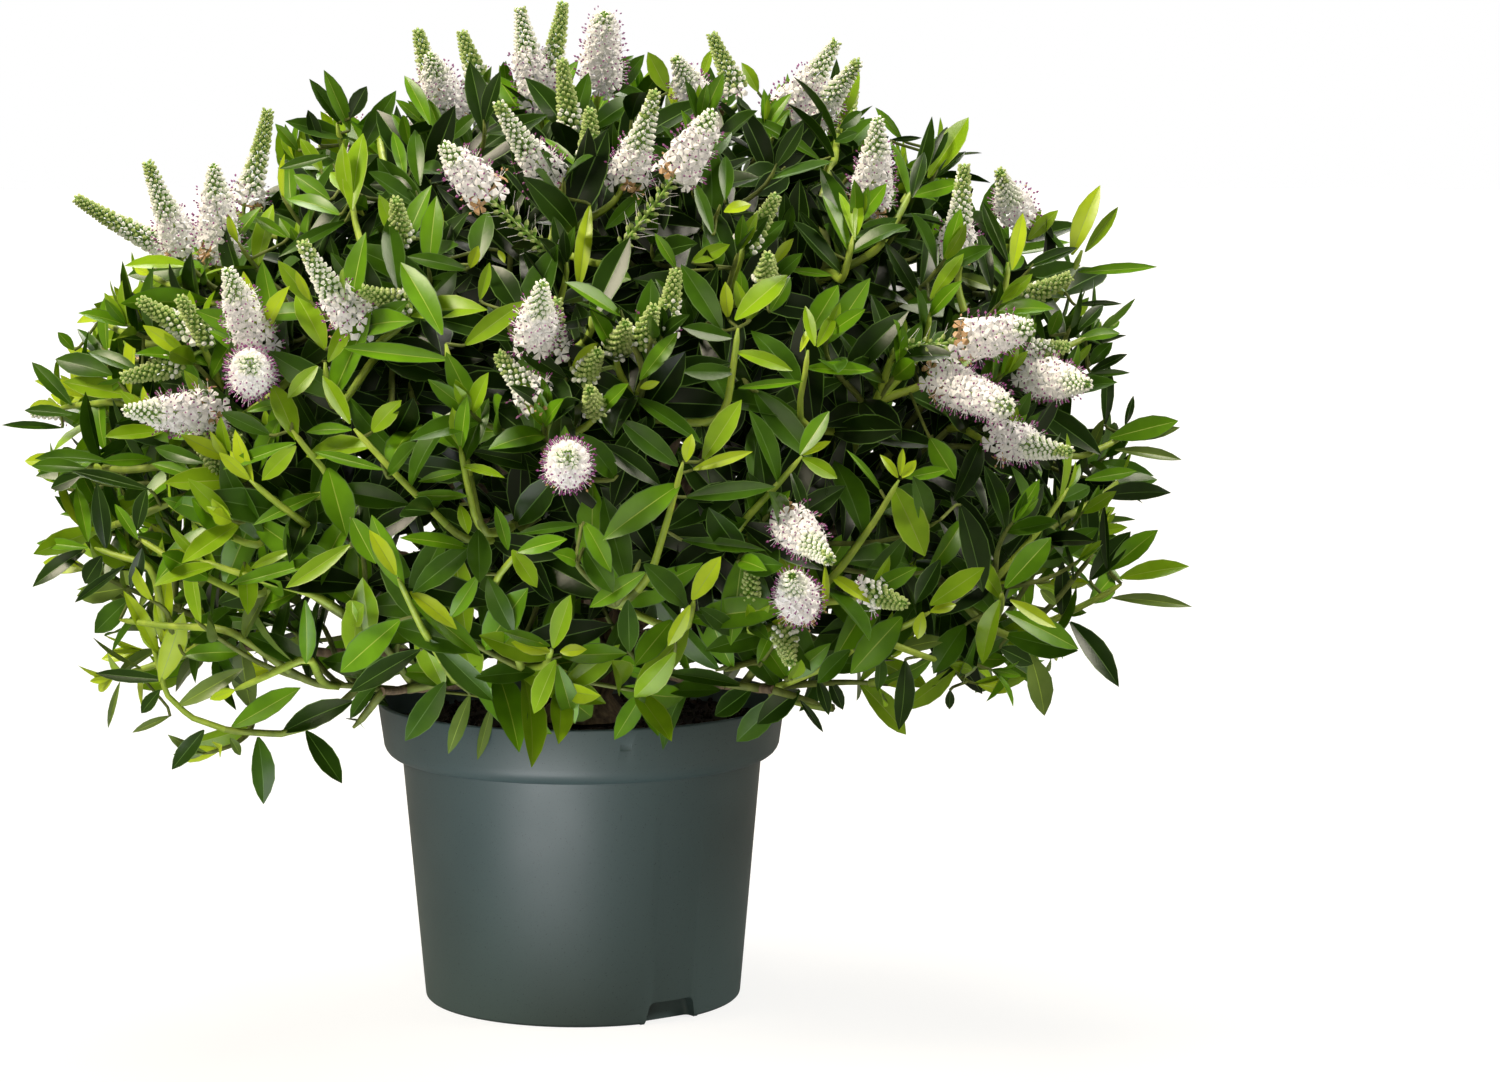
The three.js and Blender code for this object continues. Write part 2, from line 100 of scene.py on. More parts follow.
def smoothByAngle(piece, angle):
    makeActive(piece)
    bpy.ops.object.shade_smooth_by_angle(angle=radians(angle))


def coverWith(piece, material):
    piece.data.materials.clear()
    piece.data.materials.append(material)


def faceOutwards(piece):
    makeActive(piece)
    editFaces("SELECT")
    bpy.ops.mesh.remove_doubles(threshold=weldWithin)
    bpy.ops.mesh.normals_make_consistent(inside=False)
    leaveEdit()


def between(ends, share):
    return ends[0] + (ends[1] - ends[0]) * share


def wander(draw, width):
    # a drawn value on either side of 0
    return (draw() - 0.5) * width


def varied(draw):
    # a drawn factor that is near to 1
    return 0.9 + 0.2 * draw()


# Camera, floor and lights

cameraSetting = {
    "place": (0, -2.3, 0.532),
    "pitchDown": 6.78,  # degrees
    "yawRight": 2.37,
    "lens": 98.6,  # millimetres
    "sensor": 36,
    "frameWide": 1500,  # pixels
    "frameHigh": 1082,
}
focalPixels = cameraSetting["lens"] / cameraSetting["sensor"] * cameraSetting["frameWide"]
floorSetting = {"radius": 14, "sides": 96, "colour": "787876", "roughness": 0.9, "glow": 0.8}
# Each light: its place, how wide it looks in degrees, its strength and colour, and how strongly
# glossy leaves shine in it
lightSetting = {
    "left": ((-2.3, -0.85, 2.3), 20, 3.9, "fff1d8", 0.7),
    "right": ((2.35, -0.4, 2.1), 24, 2.8, "fff6e6", 0.7),
    "back": ((-0.2, 1.7, 2.3), 26, 2.1, "fffaf0", 0.2),
    "low": ((-0.5, -2.3, 0.32), 30, 0.62, "fff8e0", 0),
}
# A panel that lies on the floor in front shines in the pot and lights the lowest leaves
panelSetting = {
    "place": (-0.122, -0.345, 0.004), "turn": -20, "wide": 0.21, "long": 0.30, "power": 0.92,
    "colour": "fbfcff",
}
skySetting = {"colour": "ffffff", "strength": 0.04, "seen": 1.0}


def fromHex(text):
    values = [int(text[i:i + 2], 16) / 255 for i in (0, 2, 4)]
    return [v / 12.92 if v <= 0.04045 else ((v + 0.055) / 1.055) ** 2.4 for v in values]


def addCamera():
    turned = (radians(90 - cameraSetting["pitchDown"]), 0, radians(-cameraSetting["yawRight"]))
    bpy.ops.object.camera_add(location=cameraSetting["place"], rotation=turned)
    camera = bpy.context.object
    camera.name = "viewCamera"
    camera.data.lens = cameraSetting["lens"]
    camera.data.sensor_width = cameraSetting["sensor"]
    bpy.context.scene.camera = camera
    bpy.context.view_layer.update()
    return camera


def sightLine(pixelX, pixelY):
    # direction of the ray from the camera through a pixel of the picture
    across = (pixelX - cameraSetting["frameWide"] / 2) / focalPixels
    down = (pixelY - cameraSetting["frameHigh"] / 2) / focalPixels
    ray = viewCamera.matrix_world.to_quaternion() @ Vector((across, -down, -1))
    return ray.normalized()


def pixelOf(point):
    # where the camera sees a point, in pixels of the picture
    seen = viewInverse @ Vector(point)
    return np.array((cameraSetting["frameWide"] / 2 - focalPixels * seen.x / seen.z,
                     cameraSetting["frameHigh"] / 2 + focalPixels * seen.y / seen.z))


def setInput(node, name, value):
    node.inputs[name].default_value = value


def wire(tree, source, output, target, socket):
    tree.links.new(source.outputs[output], target.inputs[socket])


def addLight(name, place, wide, strength, colour, shine):
    # a broad soft light that shines the same all over the floor
    facing = (-Vector(place)).to_track_quat("-Z", "Y").to_euler()
    bpy.ops.object.light_add(type="SUN", location=place, rotation=facing)
    light = bpy.context.object
    light.name = name + "Light"
    light.data.angle = radians(wide)
    light.data.energy = strength
    light.data.color = fromHex(colour)
    light.data.specular_factor = shine


def addPanel():
    p = panelSetting
    facingUp = (radians(180), 0, radians(p["turn"]))
    bpy.ops.object.light_add(type="AREA", location=p["place"], rotation=facingUp)
    panel = bpy.context.object
    panel.name = "lowPanel"
    panel.data.shape = "RECTANGLE"
    panel.data.size = p["wide"]
    panel.data.size_y = p["long"]
    panel.data.energy = p["power"]
    panel.data.color = fromHex(p["colour"])


def addFloor():
    deselectAll()
    bpy.ops.mesh.primitive_circle_add(
        vertices=floorSetting["sides"], radius=floorSetting["radius"], fill_type="NGON")
    floor = bpy.context.object
    floor.name = "studioFloor"
    material = bpy.data.materials.new("studioPaper")
    material.use_nodes = True
    tree = material.node_tree
    shader = tree.nodes["Principled BSDF"]
    setInput(shader, "Base Color", (*fromHex(floorSetting["colour"]), 1))
    setInput(shader, "Roughness", floorSetting["roughness"])
    setInput(shader, "Emission Color", (1, 1, 1, 1))
    # the paper looks white, but throws little light back up into the plant
    path = tree.nodes.new("ShaderNodeLightPath")
    glow = tree.nodes.new("ShaderNodeMath")
    glow.operation = "MULTIPLY"
    setInput(glow, 1, floorSetting["glow"])
    wire(tree, path, "Is Camera Ray", glow, 0)
    wire(tree, glow, "Value", shader, "Emission Strength")
    floor.data.materials.append(material)


def lightSky():
    bpy.context.scene.view_settings.view_transform = "Standard"
    world = bpy.data.worlds.new("studioSky")
    bpy.context.scene.world = world
    world.use_nodes = True
    tree = world.node_tree
    sky = tree.nodes["Background"]
    paper = tree.nodes.new("ShaderNodeBackground")
    for background, strength in ((sky, skySetting["strength"]), (paper, skySetting["seen"])):
        setInput(background, "Color", (*fromHex(skySetting["colour"]), 1))
        setInput(background, "Strength", strength)
    path = tree.nodes.new("ShaderNodeLightPath")
    mix = tree.nodes.new("ShaderNodeMixShader")
    wire(tree, path, "Is Camera Ray", mix, "Fac")
    wire(tree, sky, "Background", mix, 1)
    wire(tree, paper, "Background", mix, 2)
    tree.links.new(mix.outputs["Shader"], tree.nodes["World Output"].inputs["Surface"])


viewCamera = addCamera()
viewInverse = viewCamera.matrix_world.inverted()
eye = viewCamera.location.copy()
addFloor()
lightSky()
for lightName, values in lightSetting.items():
    addLight(lightName, *values)
addPanel()
reportStage("camera, floor and lights")


# Materials

# Where a mottled surface's two colours lie in its noise, and how much finer its relief is
mottleSetting = {"lowAt": 0.36, "highAt": 0.64, "finer": 6, "detail": 4.0}


def startMaterial(name, roughness):
    material = bpy.data.materials.new(name)
    material.use_nodes = True
    shader = material.node_tree.nodes["Principled BSDF"]
    setInput(shader, "Roughness", roughness)
    return material, material.node_tree, shader


def addNoise(tree, scale, detail=3.0, stretch=(1, 1, 1)):
    # noise that reads the object's own coordinates
    place = tree.nodes.new("ShaderNodeTexCoord")
    mapping = tree.nodes.new("ShaderNodeMapping")
    setInput(mapping, "Scale", stretch)
    noise = tree.nodes.new("ShaderNodeTexNoise")
    setInput(noise, "Scale", scale)
    setInput(noise, "Detail", detail)
    wire(tree, place, "Object", mapping, "Vector")
    wire(tree, mapping, "Vector", noise, "Vector")
    return noise


def addRamp(tree, noise, stops):
    # stops: position and colour
    ramp = tree.nodes.new("ShaderNodeValToRGB")
    elements = ramp.color_ramp.elements
    while len(elements) < len(stops):
        elements.new(0.5)
    for element, (position, colour) in zip(elements, stops):
        element.position = position
        element.color = (*fromHex(colour), 1)
    wire(tree, noise, "Fac", ramp, "Fac")
    return ramp


def addBump(tree, shader, noise, strength, distance):
    bump = tree.nodes.new("ShaderNodeBump")
    setInput(bump, "Strength", strength)
    setInput(bump, "Distance", distance)
    wire(tree, noise, "Fac", bump, "Height")
    wire(tree, bump, "Normal", shader, "Normal")


def mottledMaterial(name, low, high, scale, roughness, bump=0.0, distance=0.0005):
    # a surface that wanders between two near colours, with a fine relief
    m = mottleSetting
    material, tree, shader = startMaterial(name, roughness)
    noise = addNoise(tree, scale)
    ramp = addRamp(tree, noise, [(m["lowAt"], low), (m["highAt"], high)])
    wire(tree, ramp, "Color", shader, "Base Color")
    if bump:
        fine = addNoise(tree, scale * m["finer"], m["detail"])
        addBump(tree, shader, fine, bump, distance)
    return material


# Pot

potSetting = {
    "sides": 120, "height": 0.170, "rimRadius": 0.115, "collarFootRadius": 0.112,
    "collarFootHeight": 0.138, "collarRounding": 0.0095, "bodyTopRadius": 0.1015, "footRadius": 0.0895,
    "edge": 0.002,  # rounding of the foot
    "wall": 0.0025, "floor": 0.003, "arcSteps": 6,
    "arcFrom": -88,  # degrees; the collar's arc starts all but level
    "footSteps": 3,
    "softEdge": 0.0005,  # rounding of the edges that are sharper than this angle
    "softFrom": 40, "smoothTo": 32,
}
notchSetting = {
    "turns": (33, 213), "width": 0.034, "topWidth": 0.028, "height": 0.012, "depth": 0.009,
    "wall": 0.002, "rounding": 0.0028, "past": 0.010, "below": 0.002,
}
slotSetting = {
    "turn": 12, "below": 0.0105, "width": 0.0062, "height": 0.0036, "block": 0.0024, "inset": 0.0006,
}
plasticSetting = {
    "dark": "3d5054", "light": "455a5e", "patches": 9, "patchStretch": (1, 1, 0.4),
    "speck": "8c8c8c", "specks": 1400, "grain": 2600, "grainStrength": 0.12, "grainDepth": 0.0002,
    "wear": 40, "roughness": (0.42, 0.54), "specular": 0.85,
}


def heading(turn, rise=0):
    level = cos(radians(rise))
    across = sin(radians(turn)) * level
    return Vector((across, -cos(radians(turn)) * level, sin(radians(rise))))


def drawRings(rings):
    # extrudes and resizes the first ring's face to each later ring
    for (radius, height), (nextRadius, nextHeight) in zip(rings, rings[1:]):
        rise = {"value": (0, 0, nextHeight - height)}
        bpy.ops.mesh.extrude_region_move(TRANSFORM_OT_translate=rise)
        share = nextRadius / radius
        bpy.ops.transform.resize(value=(share, share, 1), center_override=(0, 0, nextHeight))


def turnedPiece(name, rings, sides):
    deselectAll()
    radius, height = rings[0]
    bpy.ops.mesh.primitive_circle_add(
        vertices=sides, radius=radius, fill_type="NGON", location=(0, 0, height))
    piece = bpy.context.object
    piece.name = name
    applyPlace(piece)
    editFaces("SELECT")
    drawRings(rings)
    leaveEdit()
    faceOutwards(piece)
    return piece


def arcPoints(middle, radius, fromAngle, toAngle, steps):
    angles = [radians(fromAngle + (toAngle - fromAngle) * i / steps) for i in range(steps + 1)]
    return [(middle[0] + radius * cos(a), middle[1] + radius * sin(a)) for a in angles]


def potRings():
    s = potSetting
    arcMiddle = (s["collarFootRadius"] - s["collarRounding"], s["collarFootHeight"] + s["collarRounding"])
    foot = arcPoints((s["footRadius"] - s["edge"], s["edge"]), s["edge"], -90, 0, s["footSteps"])
    outer = arcPoints(arcMiddle, s["collarRounding"], s["arcFrom"], 0, s["arcSteps"])
    half = s["wall"] / 2
    lip = arcPoints((s["rimRadius"] - half, s["height"] - half), half, 0, 180, s["arcSteps"])
    inner = arcPoints(arcMiddle, s["collarRounding"] - s["wall"], 0, s["arcFrom"], s["arcSteps"])
    body = [(s["bodyTopRadius"], s["collarFootHeight"])]
    innerBody = [
        (s["bodyTopRadius"] - s["wall"], s["collarFootHeight"] + s["wall"]),
        (s["footRadius"] - s["wall"], s["floor"]),
    ]
    return foot + body + outer[1:] + lip + inner + innerBody


def cutterBlock(turn, width, depth, height, middleRadius, middleHeight):
    deselectAll()
    place = heading(turn) * middleRadius + upward * middleHeight
    bpy.ops.mesh.primitive_cube_add(
        size=1, location=place, rotation=(0, 0, radians(turn)), scale=(width, depth, height))
    block = bpy.context.object
    applyPlace(block)
    return block


def narrowTop(block, turn, share):
    # draws the block's top edges together along its width
    aside = heading(turn + 90)
    top = max((v.co.z for v in block.data.vertices))
    for vertex in block.data.vertices:
        if vertex.co.z > top - touching:
            offset = vertex.co.dot(aside)
            vertex.co -= aside * offset * (1 - share)


def combine(pot, block, operation):
    applyModifier(pot, "BOOLEAN", object=block, operation=operation, solver="EXACT")
    bpy.data.objects.remove(block)


def cutPot(pot):
    s, n, k = potSetting, notchSetting, slotSetting
    topShare = n["topWidth"] / n["width"]
    inside = s["footRadius"] - n["depth"]
    for turn in n["turns"]:
        # a pocket inside the wall, and then the gap that opens it
        backWall = inside - n["wall"]
        front = s["footRadius"] - s["wall"]
        high = n["height"] + n["wall"]
        pocket = cutterBlock(turn, n["width"] + n["wall"] * 2, front - backWall, high,
                             (front + backWall) / 2, high / 2)
        narrowTop(pocket, turn, topShare)
        combine(pot, pocket, "UNION")
        reach = s["footRadius"] + n["past"]
        gap = cutterBlock(turn, n["width"], reach - inside, n["height"] + n["below"],
                          (reach + inside) / 2, (n["height"] - n["below"]) / 2)
        narrowTop(gap, turn, topShare)
        applyModifier(gap, "BEVEL", width=n["rounding"], segments=3, limit_method="ANGLE")
        combine(pot, gap, "DIFFERENCE")
    slot = cutterBlock(k["turn"], k["width"], k["block"], k["height"],
                       s["rimRadius"] - k["inset"], s["height"] - k["below"])
    combine(pot, slot, "DIFFERENCE")


def potPlastic():
    p = plasticSetting
    material, tree, shader = startMaterial("greyGreenPlastic", p["roughness"][0])
    setInput(shader, "Specular IOR Level", p["specular"])
    broad = addNoise(tree, p["patches"], 2.0, p["patchStretch"])
    ramp = addRamp(tree, broad, [(0.3, p["dark"]), (0.7, p["light"])])
    specks = addNoise(tree, p["specks"], 1.0)
    darker = addRamp(tree, specks, [(0.24, p["speck"]), (0.32, "ffffff")])
    mix = tree.nodes.new("ShaderNodeMix")
    mix.data_type = "RGBA"
    mix.blend_type = "MULTIPLY"
    setInput(mix, "Factor", 1)
    wire(tree, ramp, "Color", mix, 6)
    wire(tree, darker, "Color", mix, 7)
    wire(tree, mix, 2, shader, "Base Color")
    grain = addNoise(tree, p["grain"], 2.0)
    addBump(tree, shader, grain, p["grainStrength"], p["grainDepth"])
    wear = addNoise(tree, p["wear"], 4.0)
    rough = tree.nodes.new("ShaderNodeMapRange")
    setInput(rough, "To Min", p["roughness"][0])
    setInput(rough, "To Max", p["roughness"][1])
    wire(tree, wear, "Fac", rough, "Value")
    wire(tree, rough, "Result", shader, "Roughness")
    return material


def makePot():
    s = potSetting
    pot = turnedPiece("growerPot", potRings(), s["sides"])
    cutPot(pot)
    faceOutwards(pot)
    sharp = radians(s["softFrom"])
    applyModifier(pot, "BEVEL", width=s["softEdge"], segments=2, limit_method="ANGLE", angle_limit=sharp)
    smoothByAngle(pot, s["smoothTo"])
    coverWith(pot, potPlastic())
    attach(pot, "root")
    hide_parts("pot")


makePot()
reportStage("pot")

# Soil

soilSetting = {
    "sides": 96, "radius": 0.1094,
    "height": 0.1545,  # of the surface at the wall
    "crown": 0.003,  # it stands this much higher in the middle
    "collarDepth": 0.006, "depth": 0.022, "bottomRadius": 0.0975, "rings": 15,
    "grain": 0.011,  # size of the larger lumps
    "relief": 0.0042,
    "surfaceUp": 0.9,  # a face that looks up more than this is the surface
    "smoothTo": 50, "crumbs": 1100, "crumbSize": (0.0009, 0.0030),
    "smallCrumbs": 3,  # the higher this power, the more of them are small
    "crumbMargin": 0.003,  # they keep this far from the wall
    "crumbHeights": 0.003, "crumbSunk": 0.3,
}
# Where the seeds of each use start
seedFrom = {
    "crumbs": 71, "bough": 500, "sideShoot": 2000, "spike": 3000, "fineTip": 4000, "backShoot": 5000,
    "backSpike": 6000, "innerTip": 7000, "seenLeaves": 8000,
}


def seededDraw(seed):
    # the same numbers as in the part's source, so the same shoots grow
    state = (seed * 7919 + 12345) % 2 ** 32

    def draw():
        nonlocal state
        state = (state * 1664525 + 1013904223) % 2 ** 32
        return state / 2 ** 32
    return draw


def cloudTexture(name, scale, depth):
    texture = bpy.data.textures.new(name, "CLOUDS")
    texture.noise_scale = scale
    texture.noise_depth = depth
    return texture


def crownOfSoil(radius):
    return soilSetting["crown"] * (1 - radius / soilSetting["radius"])


def soilMaterial():
    return mottledMaterial("compost", "17110d", "33261c", 90, roughness=0.95, bump=0.6, distance=0.0008)


def makeSoil():
    s = soilSetting
    top, collar = s["height"], s["height"] - s["collarDepth"]
    rings = [(s["bottomRadius"], top - s["depth"]), (s["bottomRadius"], top - s["collarDepth"] * 2),
             (s["radius"], collar), (s["radius"], top)]
    soil = turnedPiece("compost", rings, s["sides"])
    makeActive(soil)
    editFaces("DESELECT")
    leaveEdit()
    for face in soil.data.polygons:
        face.select = face.center.z > top - touching and face.normal.z > s["surfaceUp"]
    bpy.ops.object.mode_set(mode="EDIT")
    for _ in range(s["rings"]):
        bpy.ops.mesh.inset(thickness=s["radius"] / (s["rings"] + 1))
    bpy.ops.mesh.poke()
    leaveEdit()
    surface = soil.vertex_groups.new(name="surface")
    inner = [v.index for v in soil.data.vertices if v.co.z > top - touching]
    surface.add(inner, 1, "REPLACE")
    for i in inner:
        corner = soil.data.vertices[i].co
        corner.z += crownOfSoil(hypot(corner.x, corner.y))
    lumps = cloudTexture("soilLumps", s["grain"], 3)
    applyModifier(soil, "DISPLACE", texture=lumps, strength=s["relief"], vertex_group="surface",
                  direction="Z", mid_level=0.5)
    coverWith(soil, soilMaterial())
    smoothByAngle(soil, s["smoothTo"])
    soil = joinPieces([soil, soilCrumbs()], "compost")
    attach(soil, "root")
    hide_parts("soil")


# Joined meshes from arrays. A prototype is its corners, its faces and the material of each face.

def prototype(corners, faces, materials):
    return {
        "corners": np.array(corners, dtype=float),
        "loops": np.array([i for face in faces for i in face]),
        "counts": np.array([len(face) for face in faces]),
        "materials": np.array(materials),
    }


def stamp(shape, places, shifts=None):
    # copies of a prototype: places is n x 3 x 4, and shifts moves each copy's material numbers
    n, corners = len(places), shape["corners"]
    placed = np.einsum("nij,vj->nvi", places[:, :, :3], corners) + places[:, None, :, 3]
    loops = shape["loops"][None, :] + (np.arange(n) * len(corners))[:, None]
    materials = np.tile(shape["materials"], (n, 1))
    if shifts is not None:
        table, rows = shifts
        materials = table[rows[:, None], materials]
    return placed.reshape(-1, 3), loops.reshape(-1), np.tile(shape["counts"], n), materials.reshape(-1)


def meshFrom(name, stamps, materials, smooth=True):
    starts = np.cumsum([0] + [len(part[0]) for part in stamps])
    loops = np.concatenate([part[1] + start for part, start in zip(stamps, starts)])
    corners, counts, numbers = [np.concatenate([part[k] for part in stamps]) for k in (0, 2, 3)]
    mesh = bpy.data.meshes.new(name)
    mesh.vertices.add(len(corners))
    mesh.vertices.foreach_set("co", corners.ravel())
    mesh.loops.add(len(loops))
    mesh.loops.foreach_set("vertex_index", loops)
    mesh.polygons.add(len(counts))
    mesh.polygons.foreach_set("loop_start", np.concatenate([[0], np.cumsum(counts)[:-1]]))
    mesh.polygons.foreach_set("loop_total", counts)
    mesh.polygons.foreach_set("material_index", numbers)
    mesh.polygons.foreach_set("use_smooth", np.full(len(counts), smooth))
    for material in materials:
        mesh.materials.append(material)
    mesh.update()
    mesh.validate()
    piece = bpy.data.objects.new(name, mesh)
    bpy.context.collection.objects.link(piece)
    return piece


def placement(root, side, along, face, scale=1.0):
    # columns: the piece's own x, y and z axes, then where it stands
    return [[side[i] * scale, along[i] * scale, face[i] * scale, root[i]] for i in range(3)]


def lumpPrototype():
    # a rough crumb: an octahedron with one bevelled end
    corners = [(1, 0, 0), (0, 1, 0), (-0.9, 0.1, 0), (0, -1, 0.2), (0.1, 0, 0.8), (0, 0.1, -0.8)]
    faces = [(0, 1, 4), (1, 2, 4), (2, 3, 4), (3, 0, 4), (1, 0, 5), (2, 1, 5), (3, 2, 5), (0, 3, 5)]
    return prototype(corners, faces, [0] * len(faces))


def soilCrumbs():
    s, draw, places = soilSetting, seededDraw(seedFrom["crumbs"]), []
    for _ in range(s["crumbs"]):
        radius = (s["radius"] - s["crumbMargin"]) * sqrt(draw())
        turn = draw() * 360
        above = (draw() - s["crumbSunk"]) * s["crumbHeights"]
        height = s["height"] + crownOfSoil(radius) + above
        size = between(s["crumbSize"], draw() ** s["smallCrumbs"])
        turned = Quaternion((0.3, 0.5, 0.8), draw() * fullTurn) @ Quaternion((1, 0, 0), draw() * fullTurn)
        axes = [turned @ axis * size for axis in (Vector((1, 0, 0)), Vector((0, 1, 0)), Vector((0, 0, 1)))]
        places.append(placement(heading(turn) * radius + upward * height, *axes))
    return meshFrom("crumbs", [stamp(lumpPrototype(), np.array(places))], [soilMaterial()], False)


makeSoil()
reportStage("soil")


# The rule by which limbs and shoots grow, as in the part's source

trunkSetting = {
    "foot": 0.1583, "flareRadius": 0.027, "flareHeight": 0.006, "waistRadius": 0.016,
    "waistHeight": 0.013, "headRadius": 0.022, "headHeight": 0.034, "lean": 0.003,
}
crownSetting = {
    "side": 0.325, "depth": 0.308, "up": 0.242, "downFront": 0.145, "downSide": 0.195, "leftSag": 0.018,
    "squareness": 2.35,
}
crownMiddle = Vector((0.004, 0, 0.3))
# Each ring: count, first turn, then the hearts' radius and height, the rise at the trunk's head,
# the bough tips' radius, height and rise, and the boughs' thickness
ringSetting = [
    (1, 0, 0, 0.480, 90, 0, 0.345, 90, 0.0046),
    (5, 36, 0.190, 0.430, 62, 0.095, 0.335, 58, 0.0046),
    (7, 0, 0.250, 0.315, 34, 0.140, 0.262, 25, 0.0046),
    (6, 30, 0.235, 0.195, 6, 0.142, 0.196, 4, 0.0044),
]
ringNames = ("top", "upper", "middle", "lower")
boughSetting = {"sway": 0.010, "reach": 0.36, "steps": 14}
shootSetting = {
    "count": 78, "lowest": -0.74, "inset": 0.046, "jitter": 0.009, "stemLength": 0.056, "stemSteps": 4,
    "branches": (0.3, 0.97), "lift": 0.7, "lowLift": 0.6, "lowUnder": -0.2, "margin": 0.008,
    "leave": 0.35, "arrive": 0.4, "steps": 12,
    "onward": 0.006,  # in the end each goes on by this much, to the crown's surface
}
# Shoots that hang past the rim: turn, radius and height of the tip
trailingShoots = [
    (-62, .225, .158), (-38, .205, .176), (52, .232, .172), (-128, .240, .165), (132, .240, .168),
]
# Flowering shoots: turn, rise and racemes
floweringShoots = [
    (-53, 62, 3), (-120, 80, 2), (-178, 84, 2), (-2, 43, 4), (99, 74, 2), (70, 61, 3), (42, 34, 1),
    (51, 27, 2), (20, 30, 2), (58, 21, 3), (-67, 28, 2), (-54, 30, 2), (-41, 19, 1), (-29, 22, 3),
    (-54, 16, 3), (-58, 8, 2), (-42, 5, 2), (-8, 21, 2), (-5, 10, 1), (7, 19, 3), (39, 15, 2), (56, 13, 3),
    (20, 0, 2), (27, -9, 1),
]
backFlowering = {"fromTurn": 75, "rise": 5, "every": 4, "racemes": 2}
curvePoints = 61


def around(turn, radius, height):
    place = heading(turn) * radius
    place.z = height
    return place


def bezierPath(start, leave, arrive, end, steps):
    # evenly spaced points along a cubic curve
    t = np.linspace(0, 1, curvePoints)[:, None]
    ends = [np.array(p) for p in (start, leave, arrive, end)]
    points = (1 - t) ** 3 * ends[0] + 3 * (1 - t) ** 2 * t * ends[1]
    points = points + 3 * (1 - t) * t ** 2 * ends[2] + t ** 3 * ends[3]
    return evenPath(points, steps)


def evenPath(points, steps):
    lengths = np.concatenate([[0], np.cumsum(np.linalg.norm(np.diff(points, axis=0), axis=1))])
    along = np.linspace(0, lengths[-1], steps + 1)
    return np.stack([np.interp(along, lengths, points[:, i]) for i in range(3)], axis=1)


def pathLength(path):
    return float(np.linalg.norm(np.diff(path, axis=0), axis=1).sum())


def pointOn(path, distance):
    # the point and direction of a path at a distance from its start
    steps = np.diff(path, axis=0)
    lengths = np.linalg.norm(steps, axis=1)
    ends = np.cumsum(lengths)
    i = min(int(np.searchsorted(ends, distance)), len(steps) - 1)
    share = (distance - (ends[i] - lengths[i])) / lengths[i]
    return Vector(path[i] + steps[i] * share), Vector(steps[i] / lengths[i])


def layOutMasses():
    masses, t, b = [], trunkSetting, boughSetting
    head = Vector((t["lean"], 0, t["foot"] + t["headHeight"]))
    for ring, values in enumerate(ringSetting):
        count, firstTurn, heartRadius, heartHeight, headRise, radius, height, rise, thickness = values
        for i in range(count):
            turn = firstTurn + i * 360 / count
            draw = seededDraw(seedFrom["bough"] + len(masses))
            start = heading(turn, headRise) * t["headRadius"] + head
            end = around(turn, radius, height)
            reach = (start - end).length * b["reach"]
            sway = heading(turn + 90) * wander(draw, 2 * b["sway"])
            leave = start + heading(turn, headRise) * reach
            arrive = end - heading(turn, rise) * reach + sway
            masses.append({
                "ring": ring, "heart": around(turn, heartRadius, heartHeight), "thickness": thickness,
                "path": bezierPath(start, leave, arrive, end, b["steps"]),
                "endHeading": (end - arrive).normalized(), "shoots": [],
            })
    return masses


def crownReach(direction):
    c = crownSetting
    across = direction.x ** 2
    sideShare = across / (across + direction.y ** 2 + 1e-9)
    left = c["leftSag"] * sideShare if direction.x < 0 else 0
    down = c["downFront"] + (c["downSide"] - c["downFront"]) * sideShare + left
    level = hypot(direction.x / c["side"], direction.y / c["depth"])
    tall = abs(direction.z) / (c["up"] if direction.z > 0 else down)
    p = c["squareness"]
    return (level ** p + tall ** p) ** (-1 / p)


def spiralDirections(count, lowest):
    c, directions = crownSetting, []
    for i in range(count):
        height = 1 - (i + 0.5) / count * (1 - lowest)
        level = sqrt(1 - height * height)
        out = heading(i * goldenTurn) * level
        down = c["up"] if height > 0 else c["downSide"]
        directions.append(Vector((out.x * c["side"], out.y * c["depth"], height * down)).normalized())
    return directions


def layOutShoots():
    shoots = []
    for i, direction in enumerate(spiralDirections(shootSetting["count"], shootSetting["lowest"])):
        shoots.append({"index": i, "direction": direction, "racemes": 0, "tip": None})
    for turn, rise, racemes in floweringShoots:
        direction = heading(turn, rise)
        free = [s for s in shoots if s["racemes"] == 0]
        nearest = max(free, key=lambda s: s["direction"].dot(direction))
        nearest.update(direction=direction, racemes=racemes)
    for turn, radius, height in trailingShoots:
        tip = around(turn, radius, height)
        direction = (tip - crownMiddle).normalized()
        shoots.append({"index": len(shoots), "direction": direction, "racemes": 0, "tip": tip})
    for i, shoot in enumerate(shoots):
        turn = abs(degrees(atan2(shoot["direction"].x, -shoot["direction"].y)))
        rise = degrees(asin(shoot["direction"].z))
        onBack = turn > backFlowering["fromTurn"] and rise > backFlowering["rise"]
        if shoot["racemes"] == 0 and onBack and i % backFlowering["every"] == 0:
            shoot["racemes"] = backFlowering["racemes"]
    return shoots


def nearestMass(point, masses):
    return min(masses, key=lambda mass: (mass["heart"] - point).length)


def drawnIn(point, mass, masses, margin):
    # moves a point in from the sides of its mass's space
    for other in masses:
        if other is mass:
            continue
        apart = (mass["heart"] - other["heart"]).normalized()
        depth = (point - (mass["heart"] + other["heart"]) / 2).dot(apart)
        if depth < margin:
            point = point + apart * (margin - depth)
    return point


